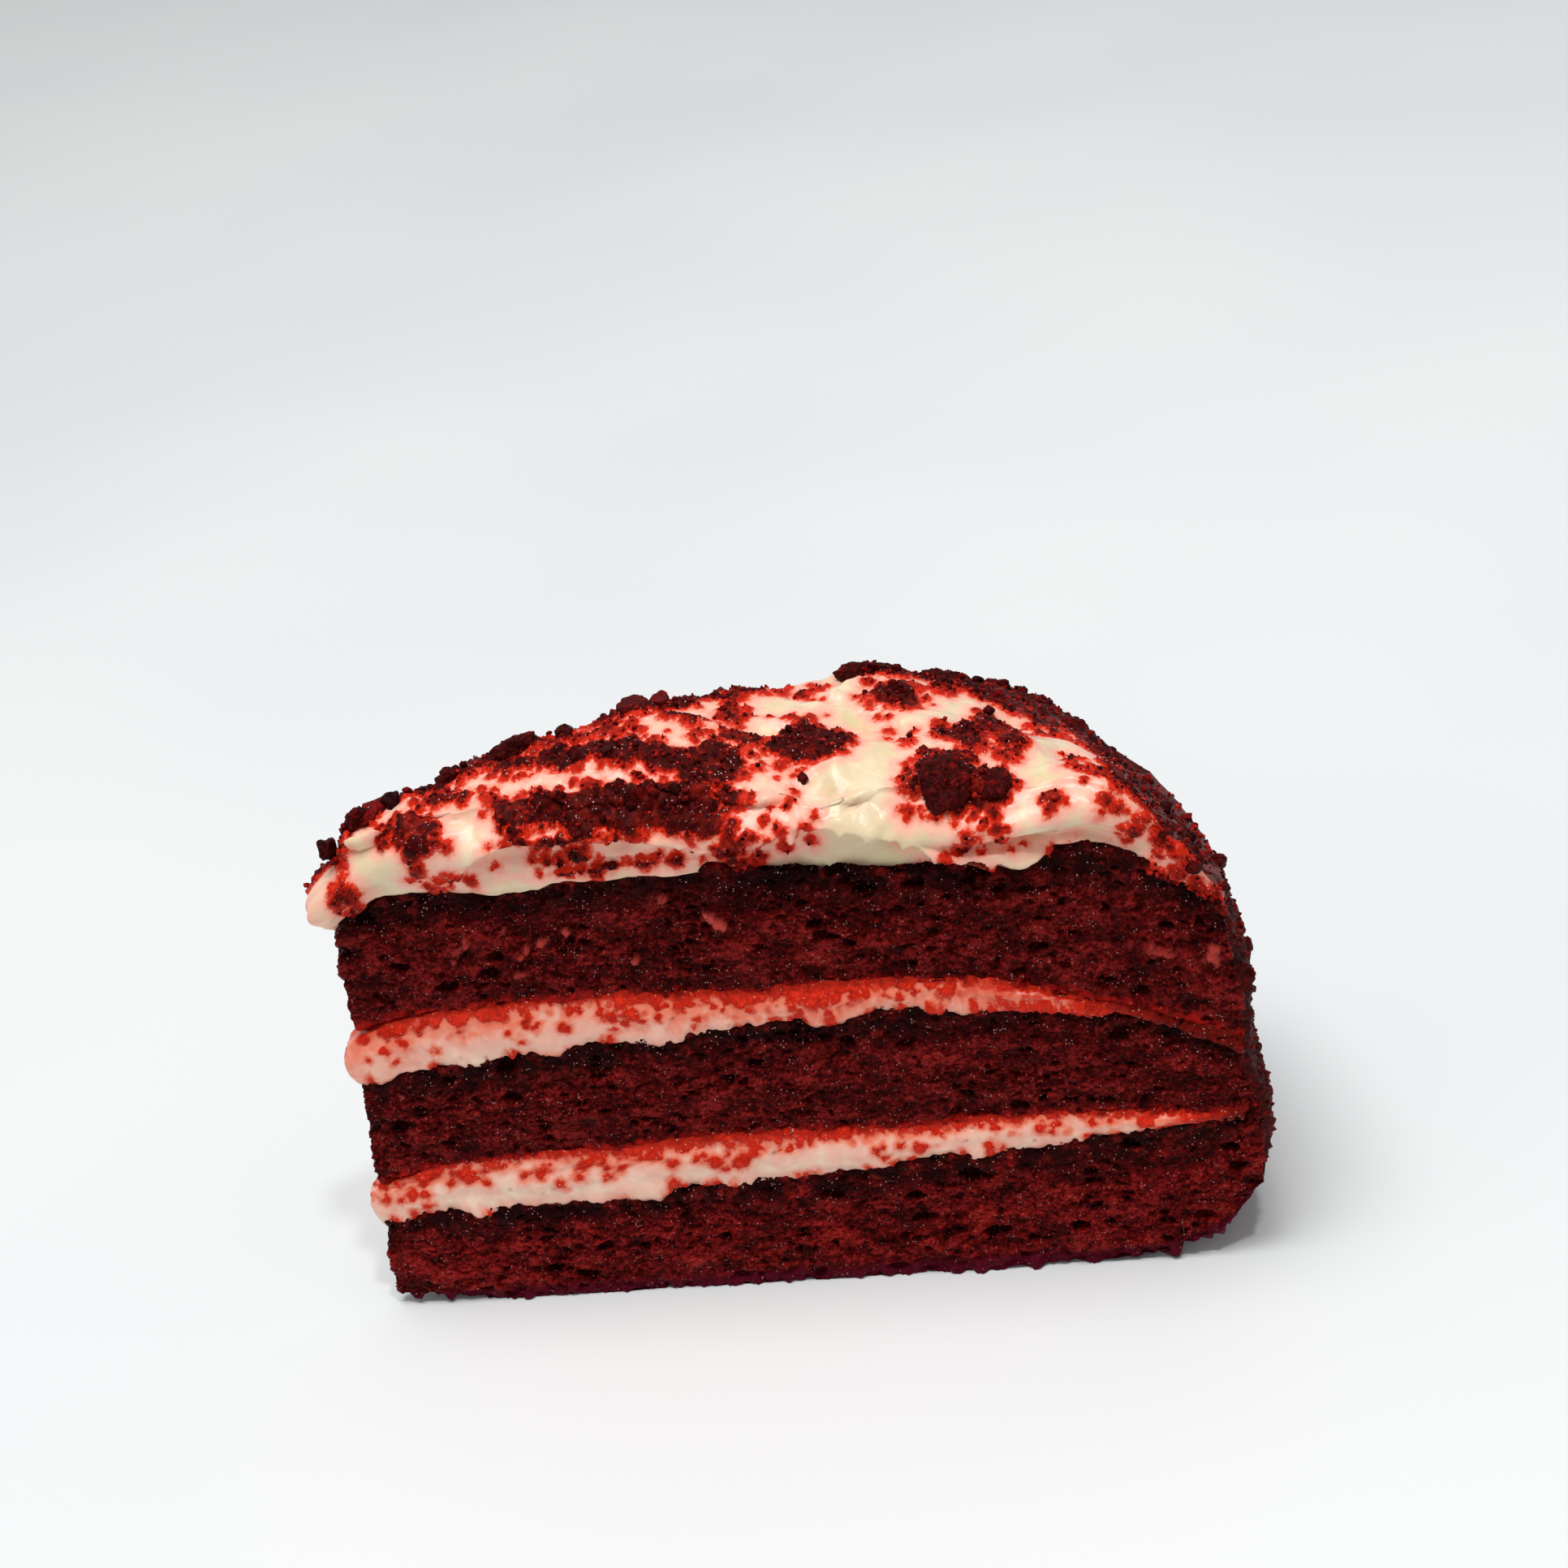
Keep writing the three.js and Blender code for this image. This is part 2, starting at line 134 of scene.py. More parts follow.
def grains(points, size, seed):
    """Scattered grains: how far the nearest centre and the next are, in grain sizes, and its number."""
    place = points / size
    base = np.floor(place).astype(np.int64)
    nearest = np.full(points.shape[:-1], 9.0)
    second = nearest.copy()
    number = np.zeros_like(nearest)
    for shift in itertools.product((-1, 0, 1), repeat=3):
        cell = base + shift
        centre = cell + np.stack([hashed(cell, seed + k) for k in range(3)], axis=-1)
        distance = np.linalg.norm(place - centre, axis=-1)
        closer = distance < nearest
        second = np.where(closer, nearest, np.minimum(second, distance))
        number = np.where(closer, hashed(cell, seed + 9), number)
        nearest = np.where(closer, distance, nearest)
    return nearest, second, number


def knobs(points, size, rise, seed):
    """Scattered knobs, 1 on top and 0 in the furrows between them. The larger the rise, the rounder."""
    nearest, second, _ = grains(points, size, seed)
    return step(second - nearest, 0, rise)


# ---------- The CAD solids ----------
class Solid:
    """CAD nodes that rays are cast at."""

    def __init__(self, *nodes):
        vertices, faces = [], []
        for node in nodes:
            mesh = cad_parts[node].data
            start = len(vertices)
            vertices += [v.co / MM for v in mesh.vertices]
            faces += [[start + i for i in face.vertices] for face in mesh.polygons]
        self.tree = BVHTree.FromPolygons(vertices, faces)

    def hit(self, start, way):
        """Where a ray first meets the solid, or None."""
        place = self.tree.ray_cast(Vector(start), Vector(way))[0]
        return None if place is None else np.array(place)


def box_of(node):
    """Lowest and highest corner of a CAD node."""
    return [np.array(corner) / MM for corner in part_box(node)]


LAYERS = ("sponge_bottom", "filling_lower", "sponge_middle", "filling_upper", "sponge_top", "frosting")
LUMPS = tuple(sorted(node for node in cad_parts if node.startswith("crumb_lump")))
FAR_AWAY = 300.0
POINT_TO_CROSSING = 2.8  # the two cuts would cross this far beyond the slice's foremost point

# The near cut runs along +X from the crossing. The far cut's angle comes from rays cast at the middle sponge.
APEX = np.array((CAD_BOX[0].x / MM - POINT_TO_CROSSING, box_of("crumb_coat")[0][1], 0))


def far_cut_angle():
    solid = Solid("sponge_middle")
    low, high = box_of("sponge_middle")
    starts = [(x, FAR_AWAY, lerp(low[2], high[2], 0.4)) for x in np.linspace(low[0] + 30, high[0] - 20, 24)]
    hits = np.array([solid.hit(start, -np.eye(3)[1]) for start in starts])
    return math.atan(np.polyfit(hits[:, 0], hits[:, 1], 1)[0])


TURN = far_cut_angle()
NEAR_OUT = np.array((0.0, -1.0, 0.0))
FAR_OUT = np.array((-math.sin(TURN), math.cos(TURN), 0))


def polar(radius, across, height=0.0):
    """A point by its distance from the crossing, its share of the way across the wedge, and its height."""
    radius, across, height = np.broadcast_arrays(radius, across, height)
    flat = np.stack([radius * np.cos(across * TURN), radius * np.sin(across * TURN), height], axis=-1)
    return APEX + flat


def cut_place_of(points):
    """How far points are along the near cut from the crossing, how far in from that cut, and how high."""
    return np.moveaxis(points - APEX, -1, 0)


def plan_of(points):
    """Distance from the crossing and share across the wedge, of points."""
    along, inward, _ = cut_place_of(points)
    return np.hypot(along, inward), np.arctan2(inward, along) / TURN


def reach_table(solid, heights, across, outwards):
    """A function of height: how far from the crossing the solid begins, or ends, in one direction."""
    way = polar(1, across) - APEX
    found = []
    for height in heights:
        start = APEX + UP * height + way * (FAR_AWAY if outwards else -FAR_AWAY)
        hit = solid.hit(start, -way if outwards else way)
        if hit is not None:
            found.append((height, float((hit - APEX) @ way)))
    places, reaches = zip(*found)
    return lambda height: np.interp(height, places, reaches)


RIM_HEIGHTS = np.arange(15, 51, 2.0)  # between the curled base and the frosting's shoulder
rim_radius = reach_table(Solid(*LAYERS), RIM_HEIGHTS, 0.08, True)

# ---------- A grid round the slice ----------
# Its columns run round the slice: along the near cut to the rim, round the rim, back along the far cut, and
# across the point. Each side is sampled in so many steps, and each step is then split as finely as needed.
SIDE_STEPS = (30, 12, 30, 2)


def columns_of():
    """Two arrays: each column's share of the way from the point to the rim, and of the way across."""
    near, rim, far, point = (np.arange(count) / count for count in SIDE_STEPS)
    along = np.concatenate([near, rim * 0 + 1, 1 - far, point * 0])
    across = np.concatenate([near * 0, rim, far * 0 + 1, 1 - point])
    return along, across


ALONG, ACROSS = columns_of()


def between(coarse, places, axis):
    """Values at places between the coarse ones, on a smooth curve through them."""
    coarse = np.moveaxis(coarse, axis, 0)
    last = len(coarse) - 1
    first = np.minimum(np.floor(places).astype(int), last - 1)
    t = (places - first).reshape((-1,) + (1,) * (coarse.ndim - 1))
    before, here, after, beyond = (coarse[np.clip(first + k, 0, last)] for k in (-1, 0, 1, 2))
    fine = 0.5 * (2 * here + (after - before) * t + (2 * before - 5 * here + 4 * after - beyond) * t**2
                  + (3 * here - before - 3 * after + beyond) * t**3)
    return np.moveaxis(fine, 0, axis)


def around(rows, splits):
    """Rows with each side's steps split so often. Each side is its own curve, so that corners stay sharp."""
    sides, start = [], 0
    for count, split in zip(SIDE_STEPS, splits):
        side = rows.take(range(start, start + count + 1), axis=1, mode="wrap")
        sides.append(between(side, np.arange(count * split) / split, 1))
        start += count
    return np.concatenate(sides, axis=1)


MIDDLE_START, MIDDLE_END = 3.0, 92.0  # the line, halfway across, on which the upper and lower faces close
EDGE_SHARE = 0.03  # rays keep this share of a wall's height away from its edges
RIM_MARGIN = 2.0  # and upright rays this far from the rim
WALL_SAMPLES, FACE_SAMPLES = 10, 12
DEEPEST_HOLLOW = 2.0  # a ray that gets further than this past a cut's plane has missed the cut face
FIRST_PROBE = 14.0  # this far from the crossing every layer has begun


class Layer:
    """A grid of points over one layer, sampled from its CAD solid: lower face, wall and upper face."""

    def __init__(self, node, inset):
        self.solid = Solid(node)
        probe = FIRST_PROBE
        for _ in range(2):
            ends = [self.face_height(probe, 0.5, above, 0) for above in (False, True)]
            heights = np.linspace(ends[0] + 0.3, ends[1] - 0.3, 9)
            self.point = reach_table(self.solid, heights, 0.5, False)
            probe = self.point(heights).max() + 1
        radius = lerp(probe, rim_radius(40.0) - RIM_MARGIN, ALONG)
        self.low, self.high = (
            np.array([self.face_height(r, a, above, inset) for r, a in zip(radius, ACROSS)])
            for above in (False, True))
        self.wall = np.array([self.wall_row(up) for up in np.linspace(0, 1, WALL_SAMPLES)])
        self.bottom = self.face(self.wall[0], False)
        self.top = self.face(self.wall[-1], True)

    def face_height(self, radius, across, above, inset):
        """The height of the upper or lower face, a little in from the cuts."""
        edge = min(inset / max(radius * TURN, 1e-6), 0.35)
        place = polar(radius, np.clip(across, edge, 1 - edge))
        side = 1 if above else -1
        return self.solid.hit(place + UP * side * FAR_AWAY, -UP * side)[2]

    def wall_out(self, radius, height, out, across):
        """How far a cut face stands out past its straight plane."""
        flat = polar(radius, across, height)
        hit = self.solid.hit(flat + out * 30, -out)
        stands_out = -FAR_AWAY if hit is None else float((hit - flat) @ out)
        return stands_out if stands_out > -DEEPEST_HOLLOW else 0.0

    def wall_row(self, up):
        """The wall's points at one share of the way up it."""
        height = lerp(self.low, self.high, up)
        safe = lerp(self.low, self.high, np.clip(up, EDGE_SHARE, 1 - EDGE_SHARE))
        radius = lerp(self.point(height), rim_radius(height), ALONG)
        row = []
        for r, a, z, level in zip(radius, ACROSS, height, safe):
            inside = np.clip(r, self.point(level) + 0.4, rim_radius(level) - 0.5)
            near = self.wall_out(inside, level, NEAR_OUT, 0) * (1 - a)
            far = self.wall_out(inside, level, FAR_OUT, 1) * a
            row.append(polar(r, a, z) + NEAR_OUT * near + FAR_OUT * far)
        return np.array(row)

    def face(self, edge, above):
        """The upper or lower face's points, in rows from the wall's edge to the middle line."""
        middle = polar(lerp(self.point(edge[0, 2]) + MIDDLE_START, MIDDLE_END, ALONG), 0.5)
        middle[:, 2] = edge[:, 2]
        side = 1 if above else -1
        rows = []
        for share in np.linspace(0, 1, FACE_SAMPLES):
            row = lerp(edge, middle, share)
            for place in row if share else ():
                hit = self.solid.hit((place[0], place[1], side * FAR_AWAY), -UP * side)
                if hit is not None:
                    place[2] = hit[2]
            rows.append(row)
        return np.array(rows)

    def grid(self, splits, bottom_rows, wall_rows, top_rows):
        """The fine grid, with each point's share up the wall, and in from its lower and its upper edge."""

        def part(coarse, count, order):
            share = np.linspace(0, 1, count + 1)
            rows = between(coarse, share * (len(coarse) - 1), 0)
            return around(rows, splits)[order], share[order]

        under, lower = part(self.bottom, bottom_rows, slice(None, 0, -1))
        wall, up = part(self.wall, wall_rows, slice(None))
        over, upper = part(self.top, top_rows, slice(1, None))
        points = np.concatenate([under, wall, over])
        shares = ([lower * 0, up, upper * 0 + 1], [lower, up * 0, upper * 0], [lower * 0, up * 0, upper])
        columns = np.ones((1, points.shape[1]))
        return Grid(points, *(np.concatenate(share)[:, None] * columns for share in shares))


class Grid:
    """A closed surface as rows of points, each row a loop round the slice."""

    def __init__(self, points, up, lower, upper):
        self.points, self.up, self.lower, self.upper = points, up, lower, upper
        self.marks = {}
        self.seen = 1 - step(np.maximum(lower, upper), 0, 0.3)  # neighbouring layers hide the rest
        onwards = np.roll(points, -1, axis=1) - np.roll(points, 1, axis=1)
        normal = unit(np.cross(onwards, np.gradient(points, axis=0)))
        flat = step(np.maximum(lower, upper), 0, 0.12)[..., None]
        vertical = np.where(upper[..., None] > 0, UP, -UP)
        self.out = unit(lerp(normal, vertical, flat))

    def push(self, amount):
        """Moves every point out along the surface's direction."""
        self.points = self.points + self.out * amount[..., None]

    def lift(self, amount):
        """Moves every point straight up."""
        self.points = self.points + UP * amount[..., None]

    def faces(self):
        rows, columns = self.up.shape
        index = np.arange(rows * columns).reshape(rows, columns)
        after = np.roll(index, -1, axis=1)
        return np.stack([index[:-1], after[:-1], after[1:], index[1:]], axis=-1).reshape(-1, 4)


# ---------- Making pieces ----------
def placed(name, data):
    """A new object in the scene."""
    new = bpy.data.objects.new(name, data)
    bpy.context.scene.collection.objects.link(new)
    return new


BOX_LOW, BOX_HIGH = (np.array(corner) / MM for corner in CAD_BOX)
MERGE = 1e-7  # metres; only points that coincide are merged


def make_piece(name, points, faces, marks, material, nodes=()):
    """A mesh object of the slice, kept in the CAD's box, with a float attribute for each mark."""
    mesh = bpy.data.meshes.new(name)
    mesh.from_pydata((np.clip(points, BOX_LOW, BOX_HIGH) * MM).tolist(), [], np.asarray(faces).tolist())
    for key, values in marks.items():
        attribute = mesh.attributes.new(key, "FLOAT", "POINT")
        attribute.data.foreach_set("value", np.asarray(values, dtype=np.float32).ravel())
    mesh.shade_smooth()
    mesh.materials.append(material)
    piece = placed(name, mesh)
    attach(piece, "root")
    if nodes:
        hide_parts(*nodes)
    return piece


def close_ends(piece):
    """Merges the coinciding points where a grid's first and last rows close on the middle line."""
    cleaned = bmesh.new()
    cleaned.from_mesh(piece.data)
    bmesh.ops.remove_doubles(cleaned, verts=cleaned.verts, dist=MERGE)
    bmesh.ops.dissolve_degenerate(cleaned, edges=cleaned.edges, dist=MERGE)
    cleaned.to_mesh(piece.data)
    cleaned.free()


def grid_piece(name, grid, material, node):
    points = grid.points.reshape(-1, 3)
    close_ends(make_piece(name, points, grid.faces(), grid.marks, material, (node,)))


# ---------- Patches ----------
UNCOVERED = -6.0  # millimetres outside any patch, where there is none near


def patch_depth(u, v, patches):
    """How far in from the edge of the nearest patch each place (u, v) lies, and that patch's last number.

    A patch is an ellipse: its middle, half its length and half its width, its turn in degrees, and a number.
    """
    depth, dark = np.full(u.shape, UNCOVERED), np.zeros(u.shape)
    for pu, pv, ru, rv, turn, darkness in patches:
        c, s = math.cos(math.radians(turn)), math.sin(math.radians(turn))
        du, dv = u - pu, v - pv
        inside = (1 - np.hypot((du * c + dv * s) / ru, (dv * c - du * s) / rv)) * min(ru, rv)
        dark = np.where(inside > depth, darkness, dark)
        depth = np.maximum(depth, inside)
    return depth, dark


# ---------- Crumbs lying on cream ----------
NEIGHBOURS = 5  # a place is compared with this many of the nearest crumbs


def area_of(grid):
    """The surface that each point of a grid stands for, in square millimetres."""
    along = np.linalg.norm(np.roll(grid.points, -1, axis=1) - grid.points, axis=-1)
    return along * np.linalg.norm(np.gradient(grid.points, axis=0), axis=-1)


def picked(points, outs, weights, count):
    """Places on a grid of points picked at random by weight, and which way is out there."""
    share = weights.ravel() / weights.sum()
    index = rng.choice(share.size, count, p=share)
    return points.reshape(-1, 3)[index], outs.reshape(-1, 3)[index]


def lay_crumbs(grid, density, count, size, seed):
    """Lays round crumbs over a grid at random, thickest where the density is highest.

    Gives how many millimetres each point lies inside the nearest crumb, and that crumb's number, from 0 to 1.
    """
    places, _ = picked(grid.points, grid.out, density * area_of(grid), count)
    radii = size * rng.lognormal(0, 0.35, count)
    numbers = rng.random(count)
    tree = KDTree(count)
    for index, place in enumerate(places):
        tree.insert(place, index)
    tree.balance()
    inside, number = np.empty(grid.up.size), np.empty(grid.up.size)
    for k, point in enumerate(wander(grid.points, 0.9, 0.3, seed).reshape(-1, 3)):
        found = tree.find_n(point, NEIGHBOURS)
        inside[k], nearest = max((radii[index] - distance, index) for _, index, distance in found)
        number[k] = numbers[nearest]
    return inside.reshape(grid.up.shape), number.reshape(grid.up.shape)


# ---------- Sponge ----------
GAP_FILL = 0.3  # neighbouring layers are grown into the clearance that the CAD leaves between them
RAGGED = 0.5  # their edges wander up and down by this much
CUT_SPLITS = (18, 6, 7, 5)  # finest on the near cut
EDGE_INSET = 0.8  # rays that find a layer's upper and lower face stay this far in from the cuts
HIDDEN_ROWS = 2
CURLED_ROWS = 7  # the slice's underside shows where it curls up at the rim
SPONGE_ROWS, FILLING_ROWS = 76, 28
CRUMB_STRETCH = np.array((0.6, 0.6, 1.0))  # crumb and pores are longer than they are high
PIT_SIZE, PIT_DEPTH = 1.0, 0.9
FINE_PIT_SIZE, FINE_PIT_DEPTH = 0.55, 0.25
PORE_SPACING, PORE_DEPTH = 4.2, 1.2


def ragged_edges(grid, seed, amount):
    """Grows a layer's wall up and down into its neighbours, unevenly."""
    flat = grid.points * (1, 1, 0.2)
    uneven = 0.5 * noise(flat, 2.6, seed) + 0.5 * noise(flat, 0.9, seed + 1)
    side = 2 * grid.up - 1
    grid.lift(side * np.abs(side) ** 5 * (GAP_FILL + amount * uneven))


def sponge_relief(points, seed):
    """How far the torn crumb stands out, and its painted shade: how light its colour is made, from 0 in its
    depths to 1 on its tips.
    """
    torn = wander(points * CRUMB_STRETCH, 1.1, 0.4, seed + 70)
    swell = 0.4 * fractal(points, 7, 2, seed)
    clumps = 0.42 * fractal(torn, 2.2, 2, seed + 5)
    grit = 0.24 * noise(torn, 0.45, seed + 60) + 0.16 * noise(points, 0.26, seed + 61)
    crowd = 0.3 * step(fractal(points, 6, 2, seed + 80), -0.3, 0.5)
    nearest, second, number = grains(torn, PIT_SIZE, seed + 20)
    pit = step(second - nearest, 0.05, 0.5) * step(number, 0.88 - crowd, 1.1 - crowd)
    nearest, second, number = grains(torn, FINE_PIT_SIZE, seed + 40)
    fine_pit = step(second - nearest, 0.0, 0.4) * step(number, 0.5, 1)
    nearest, _, number = grains(torn, PORE_SPACING, seed + 90)
    pore = step(0.25 - nearest, 0, 0.1) * (number > 0.5)
    rough = clumps + grit - PIT_DEPTH * pit - FINE_PIT_DEPTH * fine_pit - PORE_DEPTH * pore
    return swell + rough + 0.1, step(rough, -0.8, 0.7)


# Patches on the top sponge's near cut, by place along it from the crossing and height: torn flakes smeared
# with cream, with how pink each is, and holes.
FLAKES = (
    (25, 57.5, 2.2, 1.0, 35, 0.6), (30.5, 60, 1.4, 0.6, -30, 0.9), (36.5, 57.8, 2.2, 1.0, 20, 0.8),
    (40.5, 59, 1.8, 0.6, 30, 0.9), (34, 56.5, 1.6, 0.7, 50, 0.5), (60, 58.8, 2.2, 0.7, -25, 1.0),
    (33, 53.5, 2.0, 0.6, 0, 0.4), (48.5, 54, 1.0, 0.7, 0, 0.5), (53, 62.8, 1.2, 0.9, 0, 0.6),
    (115, 49.5, 4.0, 0.7, -25, 0.4), (121.5, 48, 1.2, 1.8, 0, 0.7),
)
HOLES = (
    (79, 61.5, 2.0, 1.4, 0, 1), (93.5, 62.5, 1.8, 1.1, 30, 1), (101, 55, 1.2, 0.8, 0, 1),
    (72, 57, 0.9, 0.6, 0, 1),
)
FLAKE_HEIGHT, HOLE_DEPTH = 1.1, 1.6


def flakes_and_holes(points):
    """How far points of the top sponge are on a torn flake, in a hole, and smeared with cream."""
    along, inward, height = cut_place_of(wander(points, 1.4, 0.5, 90))
    near = fade(inward, 3, 5)
    frayed = 1.1 * fractal(points, 1.1, 3, 94)
    flake, pink = patch_depth(along, height, FLAKES)
    hole, _ = patch_depth(along, height, HOLES)
    flake, hole = (step(depth + frayed, 0.0, 0.6) * near for depth in (flake, hole))
    return flake, hole, flake * pink


def sponge_layer(node, seed, material):
    under_rows = CURLED_ROWS if node == "sponge_bottom" else HIDDEN_ROWS
    grid = Layer(node, EDGE_INSET).grid(CUT_SPLITS, under_rows, SPONGE_ROWS, HIDDEN_ROWS)
    relief, tone_and_shade = sponge_relief(grid.points, seed)
    smear = np.zeros(relief.shape)
    if node == "sponge_top":
        flake, hole, smear = flakes_and_holes(grid.points)
        relief = relief + FLAKE_HEIGHT * flake - HOLE_DEPTH * hole
        # flakes get the lightest colour, and holes the painted shade of the depths
        tone_and_shade = np.maximum(tone_and_shade, flake) * (1 - hole)
    grid.push(relief * grid.seen)
    ragged_edges(grid, seed, RAGGED)
    if node == "sponge_bottom":
        crumbled_base(grid)
    # the first mark is painted shade, the crumb's depths darker and its tips lighter
    grid.marks = {"tone_and_shade": tone_and_shade, "up": grid.up, "smear": smear}
    grid_piece(node + "_crumb", grid, material, node)


BASE_SHARE = 0.16  # the share of the lowest sponge's height that its baked skin takes up
BROKEN_CORNER = 2.2  # the foot of the point has crumbled away to this height
BASE_CURL = 1.6  # and the foot of the rim has lifted this far


def crumbled_base(grid):
    """The lowest sponge's foot: an uneven skin with crumbs standing out, lifted here and there."""
    foot = 1 - step(grid.up, 0, BASE_SHARE)
    radius, _ = plan_of(grid.points)
    nearest, _, number = grains(grid.points * (1, 1, 0.6), 2.2, 81)
    bead = step(0.62 - nearest, 0, 0.4) * number
    grid.push(foot * (0.9 * bead - 0.25) * (grid.lower == 0))
    gap = 0.5 * step(fractal(grid.points * (1, 1, 0), 6, 2, 83), -0.2, 0.6)
    gap = gap + BROKEN_CORNER * fade(radius, 3, 22) + BASE_CURL * step(radius, 95, 120)
    grid.lift(gap * foot * (1 - 0.8 * bead))


# ---------- Cream filling ----------
FILLING_SPOTS, SPOT_SIZE = 1500, 0.41  # crumbs smeared over each filling's edge
HANG = 1.0  # in places the cream's foot hangs over the sponge below by this much
THIN_FROM = (76, 92)  # over these distances from the crossing the layers of cream grow thin
POINT_END = (6, 22)  # and over these the crumb that clings to the point ends


def filling_stain(place, below_top, above_foot, uneven, tinge, pale_to, seed):
    """How far a filling is stained: under the sponge above, at both ends, in blotches and at its foot."""
    radius, _ = plan_of(place)
    nearest, _, number = grains(wander(place, 1.5, 0.5, seed + 14), 1.8, seed + 15)
    blotches = 1.7 * step(0.6 - nearest, 0, 0.4) * step(number, 0.35, 0.8) * fade(below_top, 2, 5)
    band = 2.1 + 1.2 * uneven - 1.5 * below_top - 1.4 * step(radius, *THIN_FROM)
    stain = np.maximum(band, tinge + 0.8 * uneven - 0.35 * below_top)
    stain = stain + 0.7 * step(radius, pale_to - 8, pale_to + 6) + fade(radius, *POINT_END) + blotches
    return np.maximum(stain, -1.2 + 1.2 * noise(place, 2.5, seed + 10) - 0.8 * above_foot)


def filling_shape(grid, above_foot, seed):
    """How far a filling swells, how far it stands out in all, and where it hangs over the sponge below."""
    place = grid.points
    swell = 0.45 * fractal(place * (0.6, 0.6, 1.2), 4.5, 3, seed) + 0.25 * fractal(place, 1.8, 2, seed + 18)
    swell = swell + 0.3 * step(grid.up, 0, 0.2) * step(1 - grid.up, 0, 0.5)
    ruffle = 0.3 * noise(place * (1, 1, 0.5), 0.9, seed + 3) * (1 - step(above_foot, 0.3, 1.6))
    hang = step(noise(place * (1, 1, 0.2), 4, seed + 20), -0.2, 0.6)
    hang = hang * (1 - step(grid.up, 0, 0.35)) * grid.seen
    nearest, _, number = grains(place, 1.3, seed + 5)
    hole = step(0.32 - nearest, 0, 0.2) * (number < 0.1)
    return swell, swell + ruffle + 0.4 * hang - 0.4 * hole, hang


def filling_layer(node, seed, material, tinge, pale_to, sooner):
    """A layer of cream, red under the sponge above, tinged below that, and lost in crumb beyond pale_to.

    At its upper edge the cream is lost sooner, by that many millimetres.
    """
    grid = Layer(node, EDGE_INSET).grid(CUT_SPLITS, HIDDEN_ROWS, FILLING_ROWS, HIDDEN_ROWS)
    place = grid.points
    radius, _ = plan_of(place)
    below_top = (place[HIDDEN_ROWS + FILLING_ROWS, :, 2] - place[..., 2]) * grid.seen
    above_foot = (place[..., 2] - place[HIDDEN_ROWS, :, 2]) * grid.seen
    uneven = 1.3 * fractal(place * (1, 1, 0.8), 6, 2, seed + 8)
    uneven = uneven + 1.2 * fractal(place * (1, 1, 0.6), 1.9, 2, seed + 9)
    thin = step(radius, *THIN_FROM)

    density = np.exp(-np.maximum(below_top - 0.7 * uneven, 0) / 1.1) + 0.03 + 0.12 * fade(radius, *POINT_END)
    density = density * (1 - 0.6 * thin) * grid.seen
    laid, number = lay_crumbs(grid, density, FILLING_SPOTS, SPOT_SIZE, seed + 12)
    laid = laid - 0.03 + 0.3 * noise(place, 0.5, seed + 16) + 0.25 * noise(place, 1.1, seed + 17)
    stain = filling_stain(place, below_top, above_foot, uneven, tinge, pale_to, seed)
    stain = np.maximum(stain, 0.9 + 2.2 * laid)
    laid = np.maximum(laid, np.minimum(0.8 + 1.5 * uneven - 1.0 * below_top - 1.2 * thin, 0.5))
    earlier = np.maximum(sooner - 5.5 * below_top + 1.5 * uneven, 0)
    crumbed = step(radius + 3 * noise(place, 4, seed + 11) + earlier, pale_to, pale_to + 9)

    swell, cream, hang = filling_shape(grid, above_foot, seed)
    crumb, tone_and_shade = sponge_relief(place, seed)
    grid.push(lerp(cream + 0.2 * step(laid, -0.1, 0.3), crumb, crumbed) * grid.seen)
    grid.lift(-HANG * hang * (1 - crumbed))
    ragged_edges(grid, seed, RAGGED)
    grid.marks = {
        "red": laid + 3 * crumbed,
        "stain": stain + 3 * crumbed,
        "dark": np.maximum(0.25 * step(number, 0.7, 1) + 0.5 * fade(below_top, 0, 0.7), 0.85 * crumbed),
        # painted shade: crumb middles and crumb tips lighter, the depths between them darker
        "tone_and_shade": lerp(step(laid, 0, 0.4), 1.5 * tone_and_shade, crumbed),
        "hollow": 0.3 * step(-swell, 0, 0.5),
    }
    grid_piece(node + "_cream", grid, material, node)


